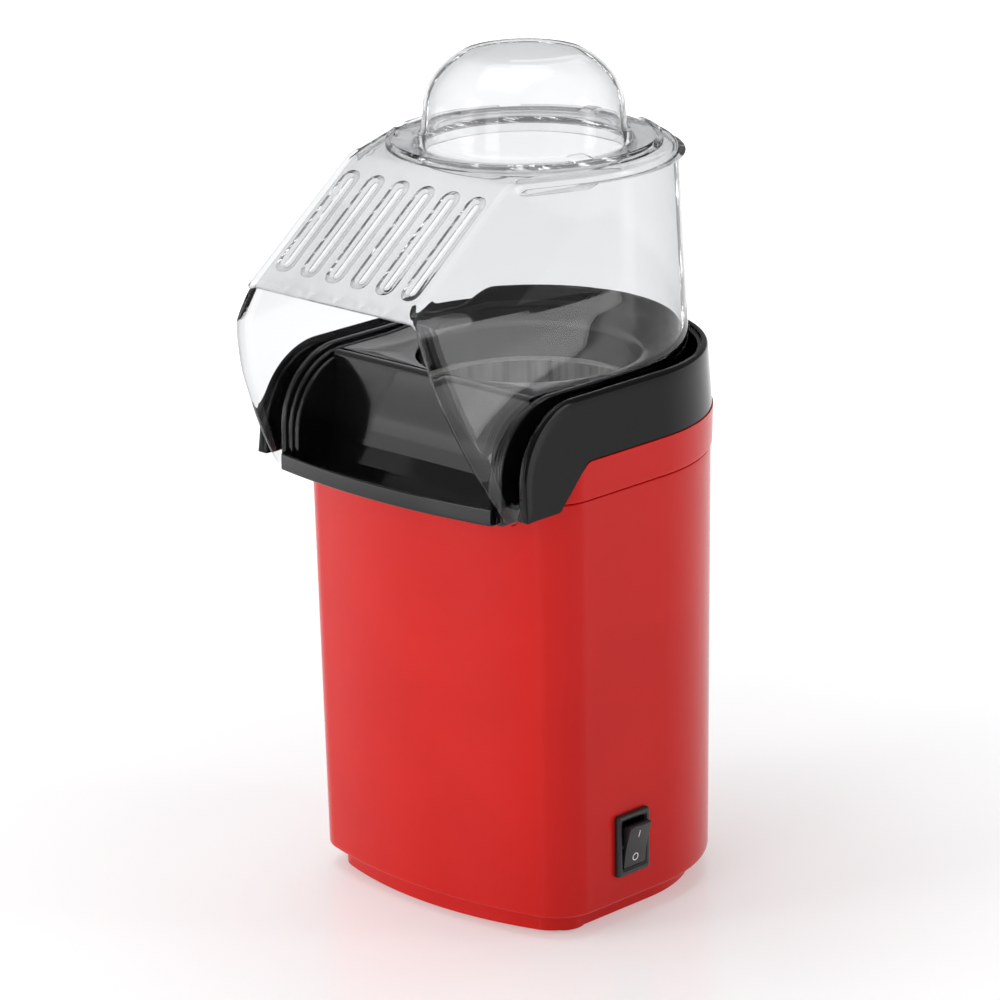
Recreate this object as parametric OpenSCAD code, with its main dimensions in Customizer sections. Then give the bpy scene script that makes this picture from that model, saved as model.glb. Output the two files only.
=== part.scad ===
// Hot air popcorn maker with a clear lift-off hood and a measuring cap.
// Millimetres, +Z up, front towards -Y, switch on the +X side.
// The origin is the middle of the whole machine's footprint, on the table.

/* [Body] */
// Width of the body at its lower edge
body_w = 114.5; // [106:0.5:140]
// Distance from the popping axis to the front corners
body_front = 45; // [43:0.5:56]
// Bow of the front face between its corners
front_bow = 10; // [4:0.5:14]
// Radius of the two front corners
corner_r = 15; // [10:0.5:20]
// Height of the body's lower edge above the table
body_z = 7.7; // [6:0.1:12]
// Height of the seam between the body and its upper band
seam_z = 147.4; // [140:0.2:180]
// Outward lean of the body's walls in degrees
body_lean = 0.72; // [0.3:0.02:1.2]
// Wall of the body and the band
body_wall = 2.4; // [1.8:0.1:3]
// Amount by which the band stands proud of the body
band_proud = 0.5; // [0.2:0.1:1]

/* [Black top] */
// Height of the upper band above the seam
band_h = 12.9; // [10:0.1:18]
// Height of the black ring above the band
rim_h = 21.2; // [18:0.2:28]
// Thickness of the black ring's wall
rim_wall = 3.6; // [2.6:0.1:4.4]
// Distance from the popping axis to the front of the black ring
rim_front = 65; // [64:0.5:76]
// Radius of the rounded front shoulder
shoulder_r = 24.5; // [18:0.5:28]
// Height of the black ring's lower front corner below the band's top
corner_drop = 13.5; // [10:0.5:16]
// Width of the groove that takes the hood
groove_w = 5.3; // [5:0.1:7]
// Thickness of the groove's floor
groove_floor = 2; // [1.6:0.1:3]

/* [Chute] */
// Wall of the chute and funnel
chute_wall = 2; // [1.6:0.1:2.6]
// Distance from the popping axis to the chute's front wall
apron_y = 45; // [44:0.5:52]
// Forward lean of the chute's front wall at its foot
apron_run = 5; // [2:0.5:7]
// Depth of the tray in front of the chute
tray_run = 17; // [12:0.5:24]
// Bow of the tray's front edge
tray_bow = 4.4; // [1:0.2:8]
// Height of the tray's rim
tray_rim_h = 5.6; // [4:0.2:9]
// Width of one cheek
cheek_w = 6.4; // [5:0.2:9]
// Height of the guard behind the funnel above the rim
guard_h = 5.7; // [3:0.1:10]

/* [Popping chamber] */
// Inner radius of the chamber
chamber_r = 35.6; // [30:0.2:37]
// Depth of the chamber
chamber_h = 64; // [50:1:70]
// Thickness of the chamber's metal
chamber_t = 0.8; // [0.6:0.1:1.2]
// Number of air slots round the chamber's foot
louvre_count = 20; // [12:1:26]
// Gap for hot air round the chamber
air_gap = 3.8; // [3:0.1:4.4]
// Thickness of the heater tube
tube_t = 1.2; // [1:0.1:1.6]

/* [Hood] */
// Wall of the hood and the cap
clear_t = 2; // [1.6:0.1:2.4]
// Height of the hood's flat top
hood_top_z = 247.6; // [238:0.2:280]
// Narrowing of the hood from the groove to its top
hood_taper = 3.5; // [1:0.1:6]
// Distance from the popping axis to the foot of the sloping panel
hood_front = 89; // [84:0.5:100]
// Height of the foot of the sloping panel
slope_foot_z = 212.6; // [205:0.2:225]
// Distance from the popping axis to the top of the sloping panel
slope_top_y = 43; // [40:0.5:48]
// Half width of the sloping panel
slope_half_w = 36.6; // [32:0.2:40]
// Number of air slots in the sloping panel
vent_count = 6; // [3:1:7]
// Spacing of the air slots
vent_pitch = 11.1; // [8:0.1:11.5]
// Width of one air slot
vent_w = 3.8; // [2:0.1:4]
// Distance from the panel's edges to the centres of the slots' round ends
vent_end = 11; // [8:0.5:16]
// Radius of the round hole under the cap
hood_hole_r = 34.4; // [28:0.2:36]

/* [Cap] */
// Radius of the cap's flange
cap_flange_r = 42.4; // [38:0.2:44]
// Height of the cap's dome above the hood
cap_h = 30; // [20:0.5:40]
// Radius of the flat on top of the dome
cap_flat_r = 16.5; // [10:0.5:20]
// Depth of the cap's skirt in the hood
cap_skirt_h = 4.6; // [3:0.2:8]

/* [Base] */
// Inset of the base from the body's sides
base_inset = 6.2; // [4:0.2:9]
// Inset of the base from the body's front
base_front_inset = 3.8; // [2:0.2:7]
// Height of the base's underside above the table
foot_h = 1.4; // [1:0.1:3]
// Radius of one foot
foot_r = 7; // [5:0.2:9]
// Thickness of the base
base_t = 2; // [1.6:0.1:3]
// Radius of the air inlet in the base
inlet_r = 26; // [16:0.5:29]

/* [Fan and motor] */
// Radius of the fan
fan_r = 37; // [28:0.5:37.4]
// Number of fan blades
blade_count = 8; // [5:1:11]
// Height of the fan's underside
fan_z = 56; // [52:0.5:60]
// Radius of the motor
motor_r = 13.85; // [10:0.05:16]
// Length of the motor's can
motor_h = 34; // [28:0.5:36]
// Radius of the motor's shaft
shaft_r = 1.15; // [1:0.05:1.6]

/* [Switch and cord inlet] */
// Height of the switch's middle above the table
switch_z = 27.3; // [24:0.1:40]
// Distance of the switch's middle in front of the popping axis
switch_y = 16; // [10:0.5:18]
// Width of the switch's bezel
bezel_w = 15; // [14:0.1:16]
// Height of the switch's bezel
bezel_h = 21; // [20:0.1:22]
// Amount by which the bezel stands proud
bezel_t = 2; // [1.4:0.1:2.4]
// Tilt of the rocker to each side in degrees
rocker_tilt = 12; // [8:0.5:14]
// Height of the cord inlet's middle above the table
inlet_z = 22; // [18:0.5:30]
// Radius of the cord inlet's bore
cord_r = 3.4; // [2.5:0.1:4]

/* [Hidden] */

$fn = 96;
fit = 0.15;       // gap between pieces that slip together
running = 0.05;   // radial gap round a turning shaft or pin
hood_gap = 1.2;   // gap between the hood and the inner wall of its groove
eps = 0.01;
far = 200;
red = [0.80, 0.13, 0.12];
black = [0.05, 0.05, 0.055];
clear = [0.85, 0.88, 0.9, 0.3];
steel = [0.62, 0.63, 0.65];

// radii and heights that follow from the settings
body_r = body_w / 2;
seam_r = body_r + (seam_z - body_z) * tan(body_lean);
lean_k = seam_r / body_r;
band_r = seam_r + band_proud;
band_top = seam_z + band_h;
rim_z = band_top + rim_h;
rim_low_r = band_r + 0.9;
rim_top_r = rim_low_r - 2.1;
rim_low_z = band_top - corner_drop;
rim_k = rim_top_r / rim_low_r;
groove_r = rim_top_r - rim_wall - groove_w;   // outside of the chute's wall
chute_in_r = groove_r - chute_wall;
groove_top = band_top + groove_floor;
shoulder_y = -(rim_front - 0.5 - shoulder_r);
shoulder_z = rim_z - shoulder_r;
notch_y = -apron_y - 4.3;    // where the red meets the black's low corner
line_run = corner_drop * 1.04;    // run of the slanted line behind it
chute_low_z = rim_low_z - 3;
red_front_z = chute_low_z - 0.5;
tray_floor_z = chute_low_z;
tray_y = -(apron_y + apron_run + tray_run);
cheek_x = groove_r - cheek_w;

// popping chamber stack
chamber_top = band_top + 4.5;
chamber_out = chamber_r + chamber_t;
gasket_top = chamber_top + 1.2;
collar_r = chamber_r + 0.4;
collar_top = rim_z - 3.5;
tube_in = chamber_out + air_gap;
tube_out = tube_in + tube_t;
deck_hole_r = tube_out + 0.8;
tube_flange_r = tube_out + 2.6;
screw_ring_r = (groove_r + tube_flange_r + 0.5) / 2;
chamber_floor = chamber_top - chamber_h;

// hood and cap
hood_low_r = groove_r + hood_gap + clear_t + 0.3;
hood_top_r = hood_low_r - hood_taper;
hood_low_z = groove_top + 0.4;
edge_r = 2.4;     // rounding of the hood's edges
cap_seat = hood_top_z + 0.3;
cap_skirt_r = hood_hole_r - 0.4;
slope_a = atan2(hood_top_z - 0.6 - slope_foot_z, hood_front - slope_top_y);

// base, fan and motor
base_r = body_r - base_inset;
base_front = body_front - (base_front_inset - 0.4);
base_top = body_z;
base_floor_top = foot_h + base_t;
post_r = 3.6;
post_xy = (body_r - body_wall - 8.4) * sin(45);
boss_r = 3.6;
duct_z = fan_z - 6;
duct_top = fan_z + 18;
motor_z = duct_z - motor_h;
shaft_top = fan_z + 12;
board_z = motor_z - 7.6;

// heater
coil_radii = [10, 17, 24, 31];
coil_r = 1.5;
board_z0 = duct_top + 2;
board_h = 18;
terminal_z = board_z0 + 24;
terminal_angles = [-20, -70];
thermostat_z = 128;
fuse_angle = 140;
fuse_z = 120;

// wires
wire_r = 0.9;

// rocker
pivot_in = 1;        // pivot behind the bezel's face
rocker_w = bezel_w - 5;
rocker_h = bezel_h - 5.4;

// everything is drawn round the popping axis, which stands this far behind the origin
axis_y = (hood_front + 0.1 - rim_low_r) / 2;
module on_axis() {
  translate([0, axis_y, 0]) children();
}

// half circle behind, straight sides, rounded front corners and a bowed front
function plan_points(r, front, rc, bow, n = 48) =
  let (big_r = (r * r + bow * bow) / (2 * bow),
       c0 = big_r - front - bow,
       cx = r - rc,
       cy = c0 - sqrt(pow(big_r - rc, 2) - cx * cx),
       a = atan2(c0 - cy, cx))
  concat(
    [for (i = [0:n]) let (t = 180 * i / n) [r * cos(t), r * sin(t)]],
    [for (i = [0:10]) let (t = 180 + a * i / 10) [-cx + rc * cos(t), cy + rc * sin(t)]],
    [for (i = [1:23]) let (t = 180 + a + (180 - 2 * a) * i / 24) [big_r * cos(t), c0 + big_r * sin(t)]],
    [for (i = [0:10]) let (t = -a + a * i / 10) [cx + rc * cos(t), cy + rc * sin(t)]]);

// half circle behind and straight sides, open or square in front
module u_plan(r, front) {
  circle(r);
  translate([-r, -front]) square([2 * r, front]);
}

module plan(r, front, rc, bow) {
  polygon(plan_points(r, front, rc, bow));
}

// points of an arc, in degrees
function arc(cy, cz, r, a0, a1, n) =
  [for (i = [0:n]) let (a = a0 + (a1 - a0) * i / n) [cy + r * cos(a), cz + r * sin(a)]];

// a slab cut to an outline seen from the side, [y, z], w wide across X
module side_slab(points, w) {
  rotate([90, 0, 90]) linear_extrude(w, center = true) polygon(points);
}

module ring(r_out, r_in, z, h) {
  translate([0, 0, z]) difference() {
    cylinder(r = r_out, h = h);
    translate([0, 0, -1]) cylinder(r = r_in, h = h + 2);
  }
}

module disc(r, z, h) {
  translate([0, 0, z]) cylinder(r = r, h = h);
}

// the slanted line where the red sides end and the black corner begins
function black_line(shift, lift) = [
  [-far, rim_low_z + lift], [notch_y + shift, rim_low_z + lift],
  [notch_y + line_run + shift, band_top + lift], [far, band_top + lift]];

// everything under the black line
module red_zone() {
  side_slab(concat([[far, -10], [-far, -10]], black_line(0, 0)), far);
}

module corner_posts() {
  for (x = [-1, 1], y = [-1, 1]) translate([x * post_xy, y * post_xy, 0]) children();
}

// ---- body ----

module body_solid(inset, z0, z1) {
  translate([0, 0, z0]) {
    linear_extrude(z1 - z0, scale = lean_k)
      plan(body_r - inset, body_front - inset, corner_r - inset, front_bow);
  }
}

module body_shell() {
  color(red) on_axis() difference() {
    union() {
      intersection() {
        difference() {
          body_solid(0, body_z, seam_z);
          translate([0, 0, -1]) body_solid(body_wall, body_z, seam_z + 3);
        }
        red_zone();
      }
      inlet_boss(7.4);
      for (x = [-1, 1], y = [-1, 1]) body_boss(x, y);
    }
    chute_clearance(red_front_z);
    switch_place() cube([40, bezel_w - 2 + 2 * fit, bezel_h - 2 + 2 * fit], center = true);
    translate([0, body_r, inlet_z]) rotate([90, 0, 0])
      cylinder(r = cord_r + 1.6 + fit, h = 30, center = true);
    for (x = [-1, 1], y = [-1, 1]) boss_place(x, y) translate([0, 0, -1]) cylinder(r = 1.3, h = 14);
  }
}

// bosses inside the body's lower corners that the base is screwed to
module boss_place(x, y) {
  translate([x * foot_x(y), foot_y(y), base_top + 4.2]) children();
}

module body_boss(x, y) {
  intersection() {
    boss_place(x, y) {
      cylinder(r = boss_r, h = 16);
      translate([x > 0 ? 0 : -14, -1.2, 0]) cube([14, 2.4, 16]);
    }
    body_solid(1, body_z, seam_z);
  }
}

// flat boss in the rear wall round the cord inlet
module inlet_boss(r) {
  translate([0, body_r + 0.6, inlet_z]) rotate([90, 0, 0]) cylinder(r = r, h = body_wall + 1.4);
}

module upper_band() {
  color(red) on_axis() {
    intersection() {
      union() {
        difference() {
          translate([0, 0, seam_z]) linear_extrude(band_h, scale = (band_r + 0.4) / band_r)
            plan(band_r, body_front * lean_k + band_proud, corner_r, front_bow);
          translate([0, 0, seam_z - 1]) linear_extrude(band_h - 1, scale = 1)
            plan(seam_r - body_wall, body_front * lean_k - body_wall, corner_r - body_wall, front_bow);
          disc(deck_hole_r, seam_z, far);
          chute_screw_places() disc(1.2 + fit, seam_z, far);
        }
        // spigot that drops into the body
        difference() {
          union() {
            translate([0, 0, seam_z - 6]) linear_extrude(8) band_plan(body_wall + 2 * fit);
            translate([0, 0, seam_z]) linear_extrude(2) band_plan(body_wall - 0.6);
          }
          translate([0, 0, seam_z - 7]) linear_extrude(10) band_plan(body_wall + 2);
        }
      }
      red_zone();
      difference() {
        translate([-far, -far, 0]) cube(2 * far);
        chute_clearance(0);
      }
    }
  }
}

// outline of the body at the seam, drawn in by an inset
module band_plan(inset) {
  plan(seam_r - inset, body_front * lean_k - inset, corner_r - inset, front_bow);
}

// room for the chute's front half
module chute_clearance(z) {
  translate([-groove_r - 0.6, -far, z]) cube([2 * (groove_r + 0.6), far + notch_y + 4.8, far]);
}

// ---- base ----

module base_plate() {
  color(red) on_axis() difference() {
    union() {
      translate([0, 0, foot_h]) linear_extrude(base_top - foot_h)
        plan(base_r, base_front, corner_r - 3, front_bow);
      translate([0, 0, base_top]) linear_extrude(2)
        plan(body_r - body_wall - fit, body_front - body_wall - fit, corner_r - body_wall, front_bow);
      foot_places() disc(foot_r, foot_h - 0.6, 3);
      corner_posts() disc(post_r, foot_h + 1, duct_z - foot_h - 1);
      for (x = [-1, 1], y = [-1, 1]) boss_place(x, y) disc(boss_r, -6.2, 6.2);
    }
    difference() {
      translate([0, 0, base_floor_top]) linear_extrude(base_top)
        plan(base_r - base_t, base_front - base_t, corner_r - 5, front_bow);
      corner_posts() disc(post_r, 0, far);
      for (x = [-1, 1], y = [-1, 1]) boss_place(x, y) disc(boss_r, -20, 20);
    }
    inlet_slots();
    corner_posts() disc(1.2, duct_z - 12, 13);
    for (x = [-1, 1], y = [-1, 1]) boss_place(x, y) {
      disc(1.7, -20, 22);
      disc(3.1, -20, 20 - 3.4);
    }
    foot_places() disc(foot_r - 1.6, foot_h - 1, 2);
  }
}

// straight slots across a round field, one rib of solid base between two slots
module inlet_slots() {
  pitch = 5;
  for (y = [-inlet_r + pitch / 2 : pitch : inlet_r - pitch / 2]) {
    half = sqrt(inlet_r * inlet_r - y * y);
    translate([-half, y - 1.3, 0]) cube([half - 2, 2.6, 20]);
    translate([2, y - 1.3, 0]) cube([half - 2, 2.6, 20]);
  }
}

// a screw goes up through the middle of each foot
function foot_x(y) = base_r - foot_r - (y > 0 ? 8 : 0.4);
function foot_y(y) = y > 0 ? 24 : -(base_front - foot_r - 1.2);

module foot_places() {
  for (x = [-1, 1], y = [-1, 1]) translate([x * foot_x(y), foot_y(y), 0]) children();
}

module foot_pads() {
  color(black) on_axis() foot_places() disc(foot_r - 1.6 - fit, 0, foot_h + 1);
}

// pan head screw, head down at z 0, shank upwards
module screw(head_r, head_h, shank_r, shank_h) {
  difference() {
    cylinder(r = head_r, h = head_h);
    translate([0, 0, -eps]) rotate([0, 0, 45]) {
      translate([-head_r * 0.7, -0.3, 0]) cube([head_r * 1.4, 0.6, head_h * 0.5]);
      translate([-0.3, -head_r * 0.7, 0]) cube([0.6, head_r * 1.4, head_h * 0.5]);
    }
  }
  translate([0, 0, head_h]) cylinder(r = shank_r, h = shank_h);
}

module base_screws() {
  color(steel) on_axis() for (x = [-1, 1], y = [-1, 1])
    boss_place(x, y) translate([0, 0, -3.4 - 1.8]) screw(2.7, 1.8, 1.3, 12);
}

// ---- black top ----

module rim_solid(inset, front) {
  translate([0, 0, rim_low_z]) linear_extrude(rim_z - rim_low_z, scale = rim_k)
    u_plan(rim_low_r - inset, front);
}

// outline of the black ring from the side
function rim_side() = concat(
  [[far, band_top], [far, rim_z]],
  arc(shoulder_y, shoulder_z, shoulder_r, 90, 180, 14),
  [[-rim_front + 0.5, rim_low_z], [notch_y, rim_low_z], [notch_y + line_run, band_top]]);

module top_trim() {
  color(black) on_axis() difference() {
    union() {
      intersection() {
        difference() {
          rim_solid(0, rim_front);
          rim_solid(rim_wall, rim_front + 20);
        }
        side_slab(rim_side(), far);
      }
      intersection() {
        difference() {
          rim_solid(rim_wall - 1, rim_front);
          translate([0, 0, -1]) linear_extrude(far) u_plan(groove_r + fit, far);
        }
        side_slab(concat([[far, groove_top]], groove_line(), [[far, band_top]]), far);
      }
    }
    translate([-far, -far, rim_z]) cube([2 * far, 2 * far, 20]);
  }
}

// the groove's floor and the slanted web that closes the black corner from below
function groove_line() = [
  [notch_y + line_run - 0.6, groove_top],
  [notch_y - 0.6, rim_low_z + groove_floor],
  [notch_y - 0.6, rim_low_z],
  [notch_y, rim_low_z],
  [notch_y + line_run, band_top]];

// outline of the chute's walls from the side, grown by g at the shoulder
function chute_side(g) = concat(
  [[far, band_top], [far, rim_z + guard_h], [34, rim_z + guard_h], [18, rim_z + min(g, 0)],
   [shoulder_y, rim_z + min(g, 0)]],
  arc(shoulder_y, shoulder_z, shoulder_r + g, 90, 180, 14),
  [[shoulder_y - shoulder_r - g, chute_low_z], [notch_y - 4.7, chute_low_z],
   [notch_y + line_run - 1.6, band_top]]);

module chute() {
  color(black) on_axis() difference() {
    union() {
      // outer wall with the cheeks' tall outer ridge
      intersection() {
        linear_extrude(far + far) difference() {
          u_plan(groove_r, far);
          u_plan(chute_in_r, far + 1);
        }
        side_slab(chute_side(0), far);
      }
      // stepped inner ridges of the two cheeks
      cheek_ridge(cheek_x + 4.4, -1.6);
      cheek_ridge(cheek_x + 2.2, -3);
      cheek_ridge(cheek_x, -4.4);
      funnel();
      deck();
      apron();
      tray();
      foot_ring();
    }
    disc(collar_r, 0, far + far);
    chute_screw_places() disc(1.2, band_top - 1, 7);
  }
}

module cheek_ridge(x, g) {
  intersection() {
    side_slab(chute_side(g), far);
    for (s = [0, 1]) mirror([s, 0, 0]) translate([x, -far, 0])
      cube([groove_r - x - eps, far - apron_y + 6, far + far]);
  }
}

// dished floor round the mouth, the collar below it and the flange that holds the gasket
module funnel() {
  rotate_extrude() polygon([
    [collar_r - 1, gasket_top], [tube_in + 2, gasket_top], [tube_in + 2, gasket_top + 1.6],
    [collar_r + chute_wall, gasket_top + 1.6], [collar_r + chute_wall, collar_top - 2],
    [chute_in_r + 0.5, rim_z - 2.8], [chute_in_r + 0.5, rim_z - 0.6],
    [collar_r + 1.4, collar_top], [collar_r - 1, collar_top]]);
}

module deck() {
  intersection() {
    translate([-groove_r + 1, -apron_y, rim_z - 2.8]) cube([2 * groove_r - 2, apron_y, 2]);
    difference() {
      translate([-far, -far, 0]) cube(2 * far);
      disc(collar_r + 1, 0, 2 * far);
    }
  }
}

module apron() {
  side_slab([[-apron_y, rim_z - 0.8], [-apron_y + chute_wall, rim_z - 2.8],
    [-apron_y + chute_wall - 0.6, shoulder_z + 3], [-apron_y - apron_run + chute_wall, tray_floor_z],
    [-apron_y - apron_run, tray_floor_z], [-apron_y - 2, shoulder_z - 3], [-apron_y - 0.6, shoulder_z + 4]],
    2 * (groove_r - 1));
}

function tray_points(inset) = let (w = groove_r - 2.4 - inset, y = tray_y + inset,
    r = (w * w + tray_bow * tray_bow) / (2 * tray_bow))
  concat([[w, -apron_y - 3], [-w, -apron_y - 3]],
    [for (i = [0:16]) let (x = -w + 2 * w * i / 16) [x, y + (r - tray_bow) - sqrt(r * r - x * x)]]);

module tray() {
  difference() {
    translate([0, 0, tray_floor_z]) linear_extrude(tray_rim_h) polygon(tray_points(0));
    translate([0, 0, tray_floor_z + chute_wall]) linear_extrude(tray_rim_h) intersection() {
      polygon(tray_points(chute_wall));
      translate([-far, -far]) square([2 * far, far - apron_y - apron_run]);
    }
    side_slab([[-apron_y - apron_run + 0.5, tray_floor_z + chute_wall],
      [-apron_y - apron_run + 0.5, far], [0, far], [0, tray_floor_z + chute_wall]], far);
  }
}

module foot_ring() {
  intersection() {
    ring(groove_r, tube_flange_r + 0.5, band_top, chute_wall);
    translate([-far, notch_y + line_run - 1.6, 0]) cube(2 * far);
  }
  chute_screw_places() disc(2.1, band_top, 6.6);
}

module chute_screw_places() {
  for (a = [25, 155, 65, 115])
    rotate([0, 0, a]) translate([screw_ring_r, 0, 0]) children();
}

module chute_screws() {
  color(steel) on_axis() chute_screw_places()
    translate([0, 0, band_top - 2 - 1.6]) screw(2.2, 1.6, 1.2, 2 + 5.6);
}

// ---- popping chamber and heater ----

module popping_chamber() {
  color([0.75, 0.76, 0.78]) on_axis() difference() {
    rotate_extrude() polygon([
      [0, chamber_floor + 5], [chamber_r * 0.5, chamber_floor + 3.2], [chamber_r - 3, chamber_floor],
      [chamber_out, chamber_floor], [chamber_out, chamber_top - chamber_t],
      [tube_in + 1, chamber_top - chamber_t], [tube_in + 1, chamber_top],
      [chamber_r, chamber_top], [chamber_r, chamber_floor + chamber_t],
      [chamber_r - 2.6, chamber_floor + chamber_t], [chamber_r * 0.5, chamber_floor + 3.2 + chamber_t],
      [0, chamber_floor + 5 + chamber_t]]);
    for (i = [0:louvre_count - 1]) rotate([0, 0, i * 360 / louvre_count])
      translate([chamber_r, 0, chamber_floor + 9]) rotate([25, 0, 0]) cube([6, 1.6, 9], center = true);
  }
}

module chamber_gasket() {
  color([0.55, 0.55, 0.52]) on_axis() ring(tube_in + 1, collar_r, chamber_top, gasket_top - chamber_top);
}

module heater_housing() {
  color(steel) on_axis() {
    difference() {
      ring(tube_out, tube_in, duct_top, chamber_top - chamber_t - duct_top);
      terminal_places() rotate([0, 90, 0]) cylinder(r = 1.5 + fit / 2, h = 10, center = true);
    }
    intersection() {
      ring(tube_flange_r, tube_out - 0.2, band_top, 1.2);
      translate([-far, -apron_y + chute_wall + 0.3, 0]) cube(2 * far);
    }
  }
}

module terminal_places() {
  for (a = terminal_angles) rotate([0, 0, a]) translate([tube_out, 0, terminal_z]) children();
}

module coil_rings(r) {
  for (i = [0:len(coil_radii) - 1], k = [0, 1]) translate([0, 0, board_z0 + 4.5 + 9 * k])
    rotate_extrude() translate([coil_radii[i], 0]) circle(r, $fn = 24);
}

module heater_boards() {
  color([0.80, 0.78, 0.72]) on_axis() difference() {
    for (a = [0, 90]) rotate([0, 0, a]) difference() {
      translate([-tube_in + 0.1, -0.6, board_z0]) cube([2 * tube_in - 0.2, 1.2, board_h]);
      translate([-0.65, -1, board_z0 + (a > 0 ? -1 : board_h / 2)]) cube([1.3, 2, board_h / 2 + 1]);
    }
    coil_rings(coil_r + 0.1);
  }
}

module heater_coil() {
  color([0.45, 0.42, 0.40]) on_axis() coil_rings(coil_r);
}

module heater_terminals() {
  color([0.8, 0.65, 0.35]) on_axis() terminal_places() rotate([0, 90, 0]) {
    translate([0, 0, -2.5]) cylinder(r = 1.5, h = 7.5);
    translate([0, 0, 0.1]) cylinder(r = 2.8, h = 1);
  }
}

module on_tube(a, z) {
  rotate([0, 0, a]) translate([tube_out, 0, z]) children();
}

module thermostat() {
  color([0.75, 0.75, 0.72]) on_axis() difference() {
    on_tube(180, thermostat_z) rotate([0, 90, 0]) {
      translate([0, 0, -1.4]) cylinder(r = 7.5, h = 4.4);
      cylinder(r = 6.5, h = 7);
      for (s = [-1, 1]) translate([-0.4, s * 3.4 - 1.5, 6]) cube([0.8, 3, 5]);
    }
    disc(tube_out, 0, far);
  }
}

module thermal_fuse() {
  color([0.85, 0.83, 0.8]) on_axis() on_tube(fuse_angle, fuse_z) translate([1.8, 0, 0]) {
    cylinder(r = 1.7, h = 14);
    translate([0, 0, -7]) cylinder(r = 0.5, h = 28);
  }
}

// ---- fan and motor ----

module fan_housing() {
  color([0.16, 0.16, 0.17]) on_axis() difference() {
    union() {
      ring(tube_out + 1, fan_r + 1.6, duct_z, duct_top - duct_z);
      ring(tube_out + 1, tube_in - 2, duct_z, 2);
      disc(motor_r + 2, duct_z, 2);
      for (a = [0 : 45 : 315]) rotate([0, 0, a]) translate([motor_r, -2, duct_z])
        cube([tube_in - motor_r, 4, 2]);
      intersection() {
        corner_posts() disc(post_r + 1.2, duct_z, 3);
        disc(norm([post_xy, post_xy]) + post_r + 1.2, duct_z, 10);
      }
      // arms that tie the lugs to the ring when the body is wide
      for (a = [45 : 90 : 315]) rotate([0, 0, a]) translate([tube_out, -2, duct_z + 0.3])
        cube([norm([post_xy, post_xy]) - tube_out - 2, 4, 2.4]);
    }
    disc(5, 0, far);
    disc(fan_r + 1.6, duct_z + 2, far);
    corner_posts() disc(1.5, 0, far);
    motor_screw_places() disc(1.3, 0, far);
  }
}

module fan_screws() {
  color(steel) on_axis() corner_posts() translate([0, 0, duct_z + 4.6]) mirror([0, 0, 1])
    screw(2.4, 1.6, 1.2, 10);
}

module motor_can() {
  color(steel) on_axis() difference() {
    union() {
      disc(motor_r, motor_z, motor_h);
      disc(4.9, duct_z - eps, 2.2);
    }
    disc(motor_r - 1.2, motor_z - 1, motor_h - 0.2);
    disc(3, 0, far);
    motor_screw_places() disc(1.2, duct_z - 3, far);
  }
}

module motor_screw_places() {
  for (s = [-1, 1]) translate([s * 8, 0, 0]) children();
}

module motor_screws() {
  color(steel) on_axis() motor_screw_places() translate([0, 0, duct_z + 3.4]) mirror([0, 0, 1])
    screw(2.2, 1.4, 1.2, 3);
}

module motor_magnets() {
  color([0.2, 0.2, 0.22]) on_axis() for (a = [0, 180]) rotate([0, 0, a]) intersection() {
    ring(motor_r - 1.2, motor_r - 3.4, motor_z + 5, motor_h - 11);
    translate([0, -motor_r * 0.6, 0]) cube([far, motor_r * 1.2, far]);
  }
}

module motor_bushes() {
  color([0.72, 0.52, 0.28]) on_axis() {
    ring(3, shaft_r + running, duct_z - 2.4, 4.4);
    ring(3, shaft_r + running, motor_z - 3, 3.6);
  }
}

module motor_endcap() {
  color([0.25, 0.25, 0.26]) on_axis() difference() {
    union() {
      disc(motor_r - 1.2, motor_z, 2);
      disc(motor_r - 2, motor_z - 3, 3 + eps);
      for (s = [-1, 1]) translate([s * 9 - 0.4, -1.5, motor_z - 10]) cube([0.8, 3, 7 + eps]);
    }
    disc(3, 0, far);
  }
}

module motor_shaft() {
  color(steel) on_axis() disc(shaft_r, motor_z - 3, shaft_top - motor_z + 3);
}

module motor_rotor() {
  color([0.6, 0.4, 0.25]) on_axis() difference() {
    union() {
      disc(motor_r - 4, motor_z + 8, motor_h - 18);
      disc(3.6, motor_z + 3, motor_h - 8);
    }
    disc(shaft_r, 0, far);
    for (a = [0 : 120 : 240]) rotate([0, 0, a]) translate([3.8, -0.8, motor_z + 7])
      cube([20, 1.6, motor_h - 16]);
  }
}

module rectifier_board() {
  color([0.12, 0.35, 0.18]) on_axis() difference() {
    disc(16, board_z, 1.4);
    for (s = [-1, 1]) translate([s * 9 - 0.6, -1.7, board_z - 1]) cube([1.2, 3.4, 4]);
    disc(4, board_z - 1, 4);
  }
}

module rectifier_diodes() {
  color([0.1, 0.1, 0.1]) on_axis() for (a = [45 : 90 : 315]) rotate([0, 0, a])
    translate([13.6, -2.5, board_z + 2.6]) rotate([-90, 0, 0]) {
      cylinder(r = 1.2, h = 5);
      translate([0, 0, -2]) cylinder(r = 0.35, h = 9);
    }
}

module fan_impeller() {
  color([0.85, 0.85, 0.82]) on_axis() difference() {
    union() {
      disc(7, fan_z, 12);
      for (i = [0:blade_count - 1]) rotate([0, 0, i * 360 / blade_count]) intersection() {
        translate([5.5, 0, fan_z + 6]) rotate([42, 0, 0]) translate([0, -0.7, -12])
          cube([fan_r, 1.4, 24]);
        ring(fan_r, 5, fan_z, 12);
      }
    }
    disc(shaft_r, 0, far);
  }
}

// ---- hood ----

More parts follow.
